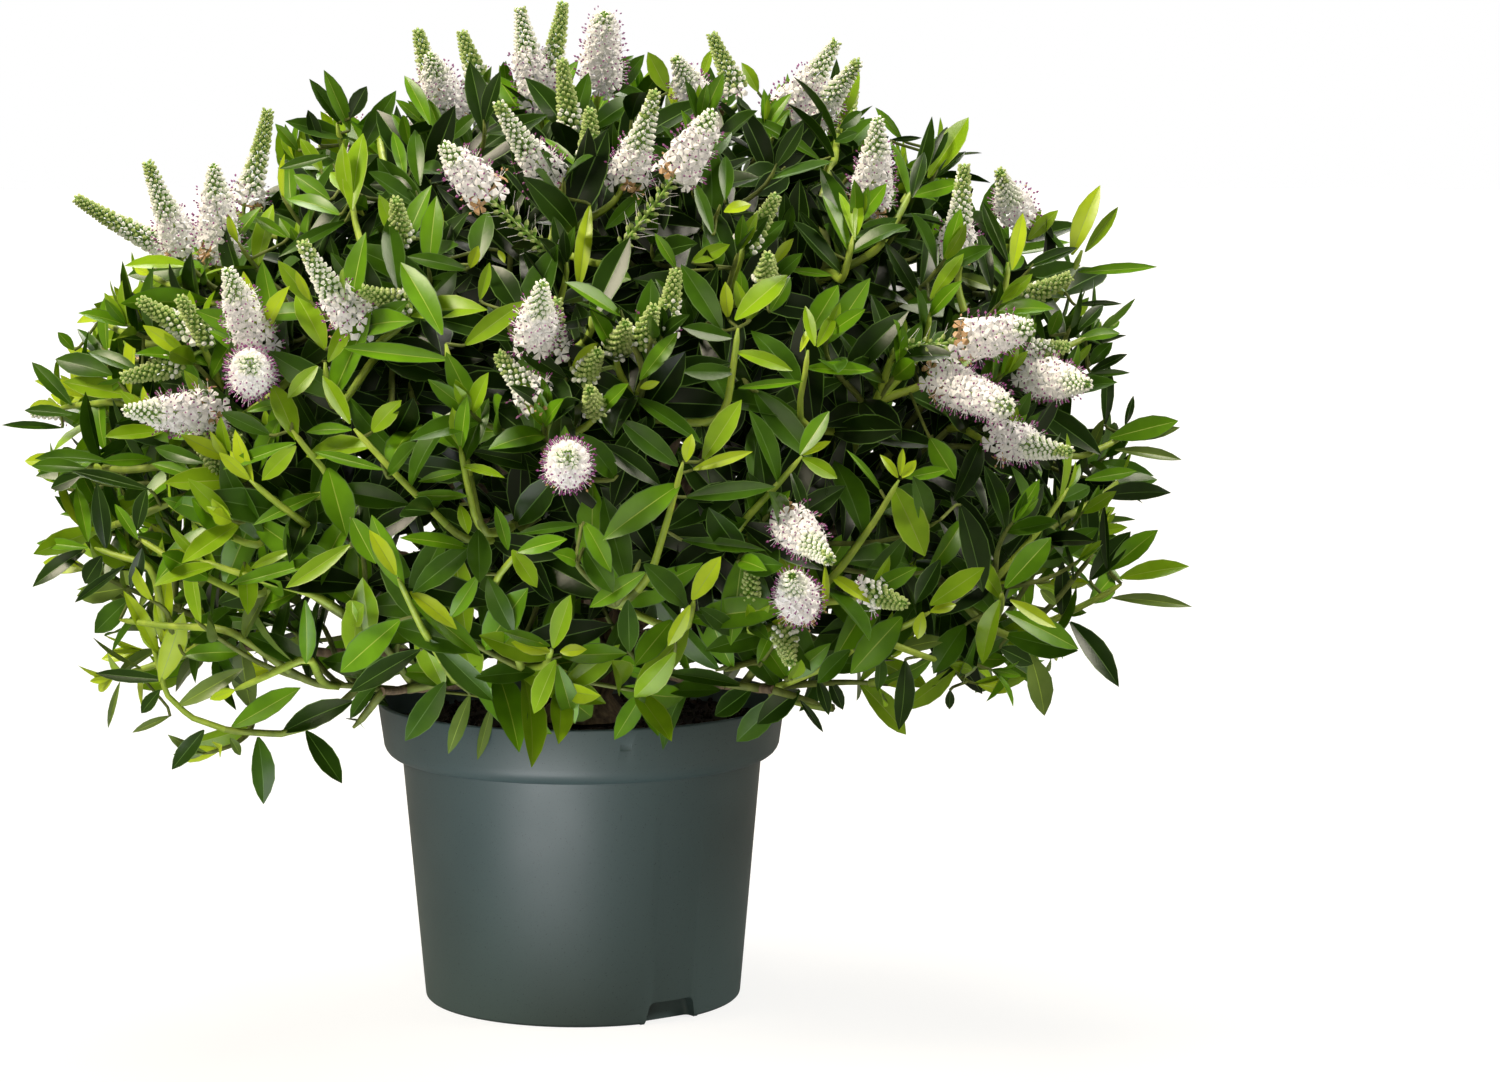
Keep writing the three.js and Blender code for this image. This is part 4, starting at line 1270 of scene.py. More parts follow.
def growInnerShoots(mains):
    f, shoots = fineSetting, []
    for i, direction in enumerate(spiralDirections(f["innerCount"], f["lowest"] * f["innerLowest"])):
        draw = seededDraw(seedFrom["innerTip"] + i)
        reach = crownReach(direction) - f["innerInset"] + wander(draw, 4 * f["jitter"])
        tip = drawnInside(direction * reach + crownMiddle)
        if not farFromAll(tip, shoots, f["innerApart"]) or not clearOfPot(tip, f["clearOfPot"]):
            continue
        shoot = growSideShoot(indexFrom["inner"] + i, tip, direction, f["innerLift"], mains, shoots)
        if shoot:
            shoot["inner"] = True
    return shoots


def clearOfPot(point, gap):
    radius = hypot(point.x, point.y)
    if radius > potSetting["rimRadius"] + gap:
        return True
    if radius > potSetting["rimRadius"] - potSetting["wall"] - gap:
        return point.z > potSetting["height"] + gap
    return point.z > soilSetting["height"] + soilSetting["crown"] + gap


def addBackSpikes(shoots):
    # away from the camera spikes follow the rule
    count, b = 0, backSpikeSetting
    lean = radians(b["lean"])
    for shoot in shoots:
        direction = shoot["direction"]
        turn = abs(degrees(atan2(direction.x, -direction.y)))
        behind = turn >= backFlowering["fromTurn"] and direction.z >= b["upFrom"]
        if not behind or shoot["spikes"] or shoot.get("inner"):
            continue
        racemes = shoot.get("racemes", 0)
        if shoot.get("fine"):
            count += 1
            racemes = b["racemes"] if count % b["every"] == 0 else 0
        if not racemes:
            continue
        draw = seededDraw(seedFrom["backShoot"] + shoot["index"])
        foot, along = pointOn(shoot["path"], pathLength(shoot["path"]) - b["foot"])
        axis = (direction + along * b["bend"]).normalized()
        aside = axis.cross(upward).normalized()
        firstTurn, bloom = draw() * fullTurn, draw()
        for k in range(racemes):
            outward = Quaternion(axis, firstTurn + k * 2 * pi / racemes) @ aside
            way = axis * cos(lean) + outward * sin(lean)
            start = foot + way * b["stand"]
            spike = {
                "foot": start, "tip": start + way * (b["length"] + b["longer"] * draw()), "over": 0,
                "open": max(bloom - b["less"] * draw(), 0) * b["open"],
                "seed": seedFrom["backSpike"] + shoot["index"] * b["seedStep"] + k,
            }
            if insideOutline(pixelOf(spike["tip"])) > outlineSetting["leafHalf"]:
                shoot["spikes"].append(spike)


def growAll():
    for shoot in mainShoots:
        shoot["spikes"] = []
    flowering = growSpikeShoots(mainShoots)
    stems = growStemShoots(mainShoots)
    rosettes = growRosetteShoots(mainShoots, flowering + stems)
    # a main shoot goes on to the crown's surface
    for shoot in mainShoots:
        end = shoot["tip"] + shoot["endHeading"] * shootSetting["onward"]
        shoot["path"] = np.vstack([shoot["path"], np.array(end)[None]])
        endInside(shoot)
    fine = growFineShoots(mainShoots, mainShoots + flowering + stems + rosettes)
    shoots = mainShoots + flowering + stems + rosettes + fine + growInnerShoots(mainShoots)
    addBackSpikes(shoots)
    return shoots


shoots = growAll()
print("shoots:", len(mainShoots), "main of", len(shoots), "spikes:", sum(len(s["spikes"]) for s in shoots))
reportStage("shoots")


# Trunk and boughs

limbSetting = {
    "trunkSides": 28,
    "sides": 3,  # a curve's bevel resolution
    "cuts": 2, "taper": 0.45,
    "flare": 0.5,  # a bough is thicker by this share at its foot, over so many points
    "flarePoints": 2.5, "barkScale": 0.0045, "barkRelief": 0.0016, "barkMiddle": 0.6, "smoothTo": 60,
    "barkTones": ((0.3, "3b3226"), (0.55, "6a5a44"), (0.8, "8b7a60")), "roughness": 0.85, "ridges": 300,
    "ridgeStretch": (1, 1, 0.25), "ridgeStrength": 0.7, "ridgeDepth": 0.0012,
}


def barkMaterial():
    s = limbSetting
    material, tree, shader = startMaterial("greyBark", s["roughness"])
    ridges = addNoise(tree, s["ridges"], 5.0, s["ridgeStretch"])
    ramp = addRamp(tree, ridges, s["barkTones"])
    wire(tree, ramp, "Color", shader, "Base Color")
    addBump(tree, shader, ridges, s["ridgeStrength"], s["ridgeDepth"])
    return material


def trunkRings():
    # a flare, a waist and a rounded head
    t = trunkSetting
    foot, head = t["foot"], t["foot"] + t["headHeight"]
    rings = [(t["flareRadius"], foot), (t["flareRadius"] * 0.97, foot + 0.002),
             ((t["flareRadius"] + t["waistRadius"]) / 2, foot + t["flareHeight"]),
             (t["waistRadius"], foot + t["waistHeight"])]
    return rings + arcPoints((0, head), t["headRadius"], -28, 84, 10)


def makeLimbs():
    s, t = limbSetting, trunkSetting
    trunk = turnedPiece("trunkStool", trunkRings(), s["trunkSides"])
    for vertex in trunk.data.vertices:
        vertex.co.x += t["lean"] * min((vertex.co.z - t["foot"]) / t["headHeight"], 1)
    limbs = [trunk]
    for mass in masses:
        deselectAll()
        bpy.ops.curve.primitive_nurbs_path_add()
        limb = bpy.context.object
        limb.data.splines.clear()
        spline = limb.data.splines.new("POLY")
        points = np.vstack([mass["path"], mass["stem"][1:]])
        spline.points.add(len(points) - 1)
        for k, (corner, place) in enumerate(zip(spline.points, points)):
            corner.co = (*place, 1)
            share = k / (len(points) - 1)
            corner.radius = 1 - s["taper"] * share + s["flare"] * max(0, 1 - k / s["flarePoints"])
        limb.data.bevel_depth = mass["thickness"]
        limb.data.bevel_resolution = s["sides"]
        limb.data.use_fill_caps = True
        limb.data.dimensions = "3D"
        makeActive(limb)
        bpy.ops.object.convert(target="MESH")
        limbs.append(bpy.context.object)
    limb = joinPieces(limbs, "woodyLimbs")
    applyPlace(limb)
    faceOutwards(limb)
    makeActive(limb)
    editFaces("SELECT")
    bpy.ops.mesh.subdivide(number_cuts=s["cuts"])
    leaveEdit()
    bark = cloudTexture("barkRidges", s["barkScale"], 2)
    applyModifier(limb, "DISPLACE", texture=bark, strength=s["barkRelief"], mid_level=s["barkMiddle"])
    smoothByAngle(limb, s["smoothTo"])
    coverWith(limb, barkMaterial())
    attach(limb, "root")
    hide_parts("trunk", *[node for node in cadNodes if node.startswith("bough")])


makeLimbs()
reportStage("trunk and boughs")


# Leaves

leafSetting = {
    "stations": (0, 0.10, 0.27, 0.46, 0.66, 0.84, 0.95, 1),
    "widest": 1.08,  # a higher power puts the widest place nearer to the tip
    "widthShare": 0.33,
    "ribShare": 0.036,  # of the half width
    "marginFrom": 0.93,
    "leastWidths": (0.10, 0.02),  # at the root and at the tip
    "blunt": (0.72, 1.02),  # the outline's power there; lower is blunter
    "fold": 0.34, "foldCurve": 0.8, "curlShortens": 0.3,
    "faceUpStem": 1.0,  # leaves face up along their stem, and outwards
    "faceOut": 0.55,
    "faceFront": 0.6,  # and on the front half also forwards
    "frontTo": 0.06, "roughness": 0.3, "shine": 0.26,
    # curl back of the tip, twist in degrees
    "forms": ((0.05, 0), (0.13, 6), (0.22, -8), (-0.05, 4), (0.16, 14), (0.30, -4)),
    # how a shoot's leaves differ: degrees, and shares of their length
    "turnWander": 24, "spreadWander": 16, "rollWander": 0.5, "lift": 0.12, "stretch": 0.35, "leafy": 0.86,
}
# How a leaf's tone is found, from lime at 0 to shade at 5; painted shade and painted light deepen or
# lighten it by its place
toneSetting = {
    "start": 0.3, "wander": 1.6, "deepest": 5,
    "pairs": 2,  # so many pairs further down the stem are one tone deeper
    "mostAge": 3.2, "olderShoots": 1.8,
    "side": 2.9,  # painted shade: deeper per metre to the right; at the lower right less so
    # painted light: leaves low on the crown are lighter by a share of a tone
    "lowSidePaintedShade": 0.3, "lowUnder": 0.27, "paintedLightBelow": 0.35,
    "shadeFrom": 0.050,  # painted shade: leaves rooted deeper than this under the crown's surface are darker
    "shadePerMetre": 45, "mostShade": 2.4,
    # painted shade also darkens those in the upper part of the front, most of all at its middle
    "paintedFrontShade": 1.5, "frontMiddle": 0.02, "frontHalf": 0.2,
    # at the lower left this share is pale
    "paleLeft": -0.12, "paleUnder": 0.26, "paleShare": 0.3,
}
# Leaves are largest at the front and smaller at the sides, the top and the lower left
sizeSetting = {
    "most": 0.98, "sideLess": 0.17, "side": 0.3, "sideCurve": 1.5, "highFrom": 0.42, "highLess": 0.9,
    "lowUnder": 0.27, "lowLess": 1.2, "lowLeft": -0.08,
}
# What leaves stay clear of, in metres, and the places on them that are tested
fitSetting = {
    "pot": 0.003, "limb": 0.008, "spike": 0.0085, "halfAcross": 0.14, "middle": 0.6, "tip": 0.92,
    "spikeShares": (0.15, 0.4, 0.65, 0.9), "coverShares": (0.1, 0.4, 0.7, 1), "coverWide": 0.6,
    "openingShares": (0.2, 0.45, 0.7, 0.95),
}
# A placed leaf faces the camera and partly up; its width is kept within these shares
seenLeafSetting = {"up": (0.1, 0.45), "aside": 0.8, "widths": (0.45, 1.5)}
# Pairs from the tip down: distance from the tip, leaf length, spread in degrees
leafPairs = [
    (0.000, 0.020, 9), (0.002, 0.030, 25), (0.008, 0.041, 44), (0.018, 0.048, 57), (0.031, 0.052, 65),
    (0.046, 0.053, 71), (0.062, 0.052, 76), (0.079, 0.050, 80), (0.097, 0.047, 84), (0.116, 0.044, 88),
    (0.136, 0.042, 88),
]
leafTones = {
    "lime": ("9cb81c", "b2cc28"), "fresh": ("749a12", "88ae1c"), "bright": ("527e0e", "649414"),
    "middle": ("30520a", "40660e"), "deep": ("1a3204", "254008"), "shade": ("0e1e03", "162a05"),
    "pale": ("5c742e", "70883e"),
}
ribTones = {"lightRib": ("8aa634", "9ab444"), "darkRib": ("456a20", "567a2a")}
lightRibbed = ("lime", "fresh", "bright", "pale")
lightMargined = ("lime", "fresh")
toneNames = list(leafTones)


def leafPrototype(curl, twist):
    s = leafSetting
    columns = (-1, -s["marginFrom"], -s["ribShare"], s["ribShare"], s["marginFrom"], 1)
    corners = []
    for share in s["stations"]:
        lower = share ** s["widest"]
        half = (4 * lower * (1 - lower)) ** between(s["blunt"], share)
        half = max(half, s["leastWidths"][0 if share < 0.5 else 1]) * s["widthShare"] / 2
        turned = radians(twist) * share
        sunk = -curl * share ** 2
        for column in columns:
            across, rise = half * column, s["fold"] * half * abs(column) ** s["foldCurve"]
            x = across * cos(turned) - rise * sin(turned)
            z = across * sin(turned) + rise * cos(turned)
            corners.append((x, share * (1 - s["curlShortens"] * curl ** 2), z + sunk))
    faces, materials, wide = [], [], len(columns)
    for i in range(len(s["stations"]) - 1):
        for k, material in enumerate((2, 0, 1, 0, 2)):
            faces.append((i * wide + k, i * wide + k + 1, (i + 1) * wide + k + 1, (i + 1) * wide + k))
            materials.append(material)
    return prototype(corners, faces, materials)


def leafMaterials():
    materials = []
    for name, (low, high) in leafTones.items():
        leaf = mottledMaterial(name + "Leaf", low, high, 45, leafSetting["roughness"], 0.25, 0.0003)
        shader = leaf.node_tree.nodes["Principled BSDF"]
        setInput(shader, "Specular IOR Level", leafSetting["shine"])
        materials.append(leaf)
    for name, (low, high) in ribTones.items():
        materials.append(mottledMaterial(name, low, high, scale=60, roughness=0.5))
    return materials


limbPoints = np.vstack([mass["path"] for mass in masses])
spikePoints = np.array([
    spike["foot"].lerp(spike["tip"], share) for shoot in shoots for spike in shoot["spikes"]
    for share in fitSetting["spikeShares"]])


def surfaceAway(pixelX, pixelY, inset):
    return (pointSeen(pixelX, pixelY, inset) - eye).length


def placeSeenLeaves():
    # each leaf that shows hangs on the nearest stem and lies with the crown's surface
    s, seen, points, owners, shares = leavesSeenSetting, [], [], [], []
    for shoot in shoots:
        steps = max(int(pathLength(shoot["path"]) / s["stemStep"]), 3)
        if not shoot.get("inner"):
            points.append(evenPath(shoot["path"], steps))
            owners += [shoot] * (steps + 1)
            shares += [i / steps for i in range(steps + 1)]
    points = np.vstack(points)
    pixels = np.array([pixelOf(point) for point in points])
    aways = np.linalg.norm(points - np.array(eye), axis=1)
    for tone, rows in leavesSeen.items():
        for rootX, rootY, tipX, tipY, wide in rows:
            atEdge = insideOutline(np.array((tipX, tipY))) < outlineSetting["tipInside"]
            hangs = atEdge and rootY > s["hangUnder"]
            away = surfaceAway(rootX, rootY, s["inset"])
            near = np.hypot(pixels[:, 0] - rootX, pixels[:, 1] - rootY) < s["onStem"]
            near = np.flatnonzero(near & (aways < away + s["behind"]))
            chosen = near[np.argmin(aways[near])] if len(near) else None
            if chosen is not None:
                away = aways[chosen]
            root = eye + sightLine(rootX, rootY) * away
            shown = hypot(tipX - rootX, tipY - rootY) * away / focalPixels
            further = 0 if hangs else surfaceAway(tipX, tipY, s["tipInset"]) - away
            most = shown * s["steepest"]
            ray = sightLine(tipX, tipY)
            tip = eye + ray * (away + min(max(further, -most), most))
            if chosen is None:
                # a little twig of its own joins it to the stem that is nearest
                chosen = np.argmin(np.linalg.norm(points - np.array(root), axis=1))
                start, out = Vector(points[chosen]), (tip - root).normalized()
                arrive = root - out * (root - start).length * 0.12
                littleTwigs.append(bezierPath(start, start.lerp(root, 0.4), arrive, root, s["twigSteps"]))
            owner = owners[chosen]
            owner["reach"] = max(owner.get("reach", 0), shares[chosen] * pathLength(owner["path"]))
            seen.append({
                "root": root, "tip": tip, "ray": ray, "tone": toneNames.index(tone), "away": away,
                "width": wide * away / focalPixels, "pixels": (rootX, rootY, tipX, tipY, wide),
            })
    return seen


littleTwigs = []
seenLeaves = placeSeenLeaves()
seenPixels = np.array([leaf["pixels"] for leaf in seenLeaves], dtype=float)
seenAways = np.array([leaf["away"] for leaf in seenLeaves])


def coversSeen(root, direction, length):
    # whether a leaf would stand in front of one that shows
    s, f = leavesSeenSetting, fitSetting
    starts, ways = seenPixels[:, :2], seenPixels[:, 2:4] - seenPixels[:, :2]
    squares = (ways ** 2).sum(axis=1)
    for share in f["coverShares"]:
        point = root + direction * length * share
        apart = pixelOf(point) - starts
        along = np.clip((apart * ways).sum(axis=1) / squares, 0, 1)
        beside = np.linalg.norm(apart - ways * along[:, None], axis=1)
        half = outlineSetting["leafHalf"] * (1.1 - share) * f["coverWide"]
        away = (point - eye).length
        if ((beside < seenPixels[:, 4] * s["clear"] + half) & (seenAways > away - s["nearer"])).any():
            return True
    return False


def seenLeafPlace(leaf, draw):
    s, way = seenLeafSetting, leaf["tip"] - leaf["root"]
    long, direction = way.length, way.normalized()
    up = s["up"][0] + s["up"][1] * draw()
    facing = -leaf["ray"] + upward * up + Vector((draw() - 0.5, 0, 0)) * s["aside"]
    face = (facing - direction * facing.dot(direction)).normalized()
    wider = leaf["width"] / (long * leafSetting["widthShare"])
    side = direction.cross(face) * min(max(wider, s["widths"][0]), s["widths"][1])
    return placement(leaf["root"], side, direction, face, long)


def inOpening(root, direction, length):
    # whether a leaf would close an opening or show beyond the outline
    o = outlineSetting
    for share in fitSetting["openingShares"]:
        pixel = pixelOf(root + direction * length * share)
        for x, y, radius in openingsSeen:
            if hypot(pixel[0] - x, pixel[1] - y) < radius + o["leafHalf"] * (1.2 - share):
                return True
    return insideOutline(pixelOf(root + direction * length)) < -o["leafOutside"]


def leafFits(root, direction, side, length):
    f = fitSetting
    if inOpening(root, direction, length) or coversSeen(root, direction, length):
        return False
    widest = root + direction * length * 0.5
    corners = [root + direction * length, widest]
    corners += [widest + side * length * across for across in (-f["halfAcross"], f["halfAcross"])]
    if not all(clearOfPot(corner, f["pot"]) for corner in corners):
        return False
    middle = np.array(root + direction * length * f["middle"])
    if np.linalg.norm(limbPoints - middle, axis=1).min() < f["limb"]:
        return False
    tip = np.array(root + direction * length * f["tip"])
    return min(np.linalg.norm(spikePoints - place, axis=1).min() for place in (middle, tip)) > f["spike"]


def leafTone(shoot, root, pair, older, draw):
    # young leaves are lime and older ones deeper; painted shade deepens leaves to the right, deep under the
    # crown's surface and at the upper front, and painted light lightens the lowest ones
    t, place = toneSetting, shoot["tip"]
    age = min(pair / t["pairs"], t["mostAge"])
    upper = place.z > t["lowUnder"]
    # painted shade: leaves are deeper to the right, where less light falls
    side = place.x * (t["side"] if upper or place.x < 0 else t["lowSidePaintedShade"])
    # painted shade: the deeper a leaf is rooted under the crown's surface, the darker its tone
    out = root - crownMiddle
    under = crownReach(out.normalized()) - out.length - t["shadeFrom"]
    shaded = min(max(under, 0) * t["shadePerMetre"], t["mostShade"])
    # painted shade at the middle of the upper front
    facing = 0
    if place.y < 0 and upper:
        facing = max(1 - abs(place.x - t["frontMiddle"]) / t["frontHalf"], 0) * t["paintedFrontShade"]
    # painted light: the lower leaves are lighter
    lower = 0 if upper else t["paintedLightBelow"]
    tone = age + older + side + shaded + facing - lower + wander(draw, t["wander"]) + t["start"]
    if place.x < t["paleLeft"] and place.z < t["paleUnder"] and draw() < t["paleShare"]:
        return toneNames.index("pale")
    return int(min(max(round(tone), 0), t["deepest"]))


def leafSize(place):
    z = sizeSetting
    low = max(z["lowUnder"] - place.z, 0) * z["lowLess"] if place.x < z["lowLeft"] else 0
    aside = min(abs(place.x) / z["side"], 1) ** z["sideCurve"]
    return z["most"] - z["sideLess"] * aside - max(place.z - z["highFrom"], 0) * z["highLess"] - low


def leavesOf(shoot):
    # opposite pairs, each pair turned a quarter from the last
    leaves, s, draw, path = [], leafSetting, shoot["draw"], shoot["path"]
    if shoot.get("bare"):
        return leaves
    outside = (shoot["tip"] - crownMiddle).normalized()
    onFront = min(max(s["frontTo"] - shoot["tip"].y, 0) / s["frontTo"], 1)
    turnedTo = (eye - shoot["tip"]).normalized() * s["faceFront"] * onFront
    mayBeOlder = shoot.get("fine") and shoot["index"] < indexFrom["stem"]
    older = draw() * toneSetting["olderShoots"] if mayBeOlder else 0
    length = pathLength(path)
    firstTurn = draw() * 180
    vigour = varied(draw) * leafSize(shoot["tip"])
    stretch = 1.0 + s["stretch"] * draw()
    for pair, (back, size, spread) in enumerate(leafPairs):
        back = back * stretch
        if back > length * s["leafy"]:
            break
        root, along = pointOn(path, length - back)
        aside = along.cross(upward).normalized()
        for opposite in (0, 180):
            turn = radians(firstTurn + pair * 90 + opposite + wander(draw, s["turnWander"]))
            outward = Quaternion(along, turn) @ aside
            angle = radians(spread + wander(draw, s["spreadWander"]))
            direction = along * cos(angle) + outward * sin(angle)
            direction = (direction + upward * s["lift"]).normalized()
            facing = along * s["faceUpStem"] + outside * s["faceOut"] + turnedTo
            face = (facing - direction * facing.dot(direction)).normalized()
            face = Quaternion(direction, wander(draw, s["rollWander"])) @ face
            side = direction.cross(face)
            long = size * vigour * varied(draw)
            form = int(draw() * len(s["forms"]))
            tone = leafTone(shoot, root, pair, older, draw)
            if leafFits(root, direction, side, long):
                leaves.append((placement(root, side, direction, face, long), form, tone))
                shoot["reach"] = max(shoot.get("reach", 0), length - back)
    return leaves


def makeLeaves():
    # each tone's blade, midrib and margin
    materials = leafMaterials()
    light, dark = len(leafTones), len(leafTones) + 1
    table = np.array([
        [i, light if name in lightRibbed else dark, light if name in lightMargined else dark]
        for i, name in enumerate(toneNames)])
    shapes = [leafPrototype(*form) for form in leafSetting["forms"]]
    made, draw, forms = 0, seededDraw(seedFrom["seenLeaves"]), len(shapes)
    shownLeaves = [(nearestMass(leaf["root"], masses)["ring"],
                    (seenLeafPlace(leaf, draw), int(draw() * forms), leaf["tone"])) for leaf in seenLeaves]
    for ring, ringName in enumerate(ringNames):
        leaves = [leaf for shoot in shoots if shoot["mass"]["ring"] == ring for leaf in leavesOf(shoot)]
        leaves += [leaf for seenRing, leaf in shownLeaves if seenRing == ring]
        stamps = []
        for form, shape in enumerate(shapes):
            chosen = [leaf for leaf in leaves if leaf[1] == form]
            places = np.array([leaf[0] for leaf in chosen])
            tones = np.array([leaf[2] for leaf in chosen])
            stamps.append(stamp(shape, places, (table, tones)))
        piece = meshFrom("leaves_" + ringName, stamps, materials)
        nodes = [f"foliage_{i + 1:02d}" for i, mass in enumerate(masses) if mass["ring"] == ring]
        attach(piece, "root")
        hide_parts(*nodes)
        made += len(leaves)
    print("leaves:", made)


makeLeaves()
reportStage("leaves")


# Twigs

twigSetting = {
    "sides": 6,
    # radii at the tip and at the root: of shoots whose stems show, of main shoots and of the others
    "shown": (0.0015, 0.0024), "main": (0.0011, 0.0025), "hidden": (0.0010, 0.0018), "curve": 1.5,
    "step": 0.006,
    "little": 0.0009,  # radius of the twigs that carry a single leaf
    "littleSides": 5,
    "beyond": 0.003,  # a stem ends this far past its last leaf
    "tipTaper": 0.45,
    "green": 0.075,  # a stem that shows is green up to this far from its tip, then olive
    "olive": 0.125,
}
# Name, two colours, scale, roughness, relief's strength and depth
twigBarks = (
    ("greenTwig", "84a032", "a2b83e", 120, 0.5, 0.3, 0.0004),
    ("brownTwig", "566426", "6f7c32", 150, 0.7, 0.5, 0.0006),
    ("oliveTwig", "6a7e28", "829632", 130, 0.6, 0.4, 0.0005),
)
greenTwig, brownTwig, oliveTwig = range(3)


def tube(path, radii, sides):
    # a closed tube along a path
    path = np.asarray(path)
    ways = np.gradient(path, axis=0)
    ways = ways / np.linalg.norm(ways, axis=1)[:, None]
    aside = np.cross(ways[0], (0.31, 0.17, 0.93))
    corners = []
    for point, way, radius in zip(path, ways, radii):
        aside = aside - way * aside.dot(way)
        aside = aside / np.linalg.norm(aside)
        other = np.cross(way, aside)
        for k in range(sides):
            a = 2 * pi * k / sides
            corners.append(point + (aside * cos(a) + other * sin(a)) * radius)
    faces = []
    for i in range(len(path) - 1):
        for k in range(sides):
            n = (k + 1) % sides
            faces.append((i * sides + k, i * sides + n, (i + 1) * sides + n, (i + 1) * sides + k))
    last = (len(path) - 1) * sides
    return corners, faces + [tuple(reversed(range(sides))), tuple(range(last, last + sides))]


def tubeStamp(path, radii, sides, tones):
    # tones: the material of each step of the path, and of the ends
    corners, faces = tube(path, radii, sides)
    materials = [tone for tone in tones[:-1] for _ in range(sides)] + [tones[-1]] * 2
    return tuple(prototype(corners, faces, materials).values())


def plainTube(path, radii, sides, material):
    return tubeStamp(path, radii, sides, [material] * len(path))


def twigStamp(shoot):
    s = twigSetting
    length = pathLength(shoot["path"])
    path = evenPath(shoot["path"], max(int(length / s["step"]), 4))
    share = np.linspace(0, 1, len(path))
    shown = indexFrom["spike"] <= shoot["index"] < indexFrom["rosette"]
    tip, root = s["shown"] if shown else s["hidden"] if shoot.get("fine") else s["main"]
    radii = root + (tip - root) * share ** s["curve"]
    if not shoot["spikes"] and not shoot.get("bare"):
        # it ends with its last leaf or side shoot
        reach = min(shoot.get("reach", 0) + s["beyond"], length)
        kept = max(int(round(reach / length * (len(path) - 1))) + 1, 3)
        path, radii = path[:kept], radii[:kept]
    radii[-1] *= s["tipTaper"]
    tones = []
    for i in range(len(path) - 1):
        away = length * (1 - i / (len(path) - 1))
        tone = brownTwig if not shown or away > s["olive"] else oliveTwig
        tones.append(greenTwig if shown and away < s["green"] else tone)
    return tubeStamp(path, radii, s["sides"], tones + [brownTwig])


def makeTwigs():
    s = twigSetting
    stamps = [twigStamp(shoot) for shoot in shoots]
    for path in littleTwigs:
        stamps.append(plainTube(path, [s["little"]] * len(path), s["littleSides"], brownTwig))
    piece = meshFrom("twigs", stamps, [mottledMaterial(*bark) for bark in twigBarks])
    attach(piece, "root")


makeTwigs()
reportStage("twigs")


# Flower spikes

flowerSetting = {
    "rachis": 0.0011,  # radius at the foot, and then its share at the tip
    "rachisTip": 0.5, "rachisSides": 5, "stalk": 1.1,
    "arch": 0.04,  # how far a spike's middle sags, as a share of its length
    "turnUp": 14,  # degrees by which the tilts below vary
    "gaps": {"bud": 0.00035, "flower": 0.00068, "capsule": 0.0013},  # along the spike, to the next one
    "budCloser": 0.2,  # at the tip the buds stand closer by this share
    "mostOpen": 0.86,  # above this share of its length every spike is in bud
    "budSize": (0.0047, 0.0027),  # at the foot of the buds, and at the tip
    "budStand": (0.0046, 0.0012),  # how far their feet stand from the rachis
    "standCurve": 0.8,
    "budTilt": 38,  # degrees
    # buds are white up to this share, more so on a spike that is open, with a drawn edge
    "whiteTo": 0.15, "whitePerOpen": 1.6, "whiteWander": 0.5,
    "openTilt": (16, 34),  # of the lowest open flowers, and of the highest
    "openSize": 1.08, "openSmaller": 0.28, "openStand": 0.0006,
    "fadedTo": 0.22,  # among the lowest open flowers up to here this share has faded
    "fadedShare": 0.3, "capsuleStand": 0.0008, "capsuleTilt": 35, "capsuleSizes": (0.9, 1.2),
    # lengths of one open flower's parts
    "tube": 0.0082, "petalReach": 0.0044, "petalHalf": 0.0018, "stamen": 0.0046, "thread": 0.0003,
}
flowerTones = {
    "petal": ("f7f5f7", "fefdfe"), "anther": ("84397a", "9c5092"), "filament": ("f6f0f5", "fcf9fc"),
    "whiteBud": ("e6eada", "f8f8f2"), "greenBud": ("a2b866", "bccb86"), "calyx": ("66942e", "7eaa42"),
    "faded": ("b48c5c", "d2b088"),
}
flowerNames = list(flowerTones)
blossomPieces = (
    ("openFlowers", ("flower", "faded"), False), ("capsules", ("capsule",), False),
    ("whiteBuds", ("whiteBud",), True), ("greenBuds", ("greenBud",), True),
)
paintedPetalGlow = {"petal": 0.03, "filament": 0.05, "whiteBud": 0.05}  # painted glow that stands in for light passing through thin petals


def ringed(rows, sides, materials):
    # a turned shape along +Y from rows of radius and place; a first or last radius of 0 is a point
    corners, faces, numbers, starts = [], [], [], []
    for radius, place in rows:
        starts.append(len(corners))
        if radius == 0:
            corners.append((0, place, 0))
            continue
        for k in range(sides):
            a = 2 * pi * k / sides
            corners.append((radius * cos(a), place, -radius * sin(a)))
    for i in range(len(rows) - 1):
        for k in range(sides):
            n = (k + 1) % sides
            if rows[i][0] == 0:
                faces.append((starts[i], starts[i + 1] + n, starts[i + 1] + k))
            elif rows[i + 1][0] == 0:
                faces.append((starts[i] + k, starts[i] + n, starts[i + 1]))
            else:
                faces.append((starts[i] + k, starts[i] + n, starts[i + 1] + n, starts[i + 1] + k))
            numbers.append(materials[i])
    return corners, faces, numbers


def mergeShapes(parts):
    corners, faces, materials = [], [], []
    for partCorners, partFaces, partMaterials in parts:
        faces += [tuple(i + len(corners) for i in face) for face in partFaces]
        corners += list(partCorners)
        materials += list(partMaterials)
    return prototype(corners, faces, materials)


def moved(part, place, turned):
    corners = [turned @ Vector(corner) + Vector(place) for corner in part[0]]
    return [tuple(corner) for corner in corners], part[1], part[2]


def budPrototype(body):
    # a green cup with the bud standing out of it
    calyx, tone = flowerNames.index("calyx"), flowerNames.index(body)
    rows = [(0.14, 0), (0.37, 0.36), (0.27, 0.40), (0.30, 0.72), (0, 1)]
    return mergeShapes([ringed(rows, 5, [calyx, calyx, tone, tone])])


def ribbon(width, length, material):
    # a thread, as a narrow strip along +Y
    half = width / 2
    return [(-half, 0, 0), (half, 0, 0), (half, length, 0), (-half, length, 0)], [(0, 1, 2, 3)], [material]


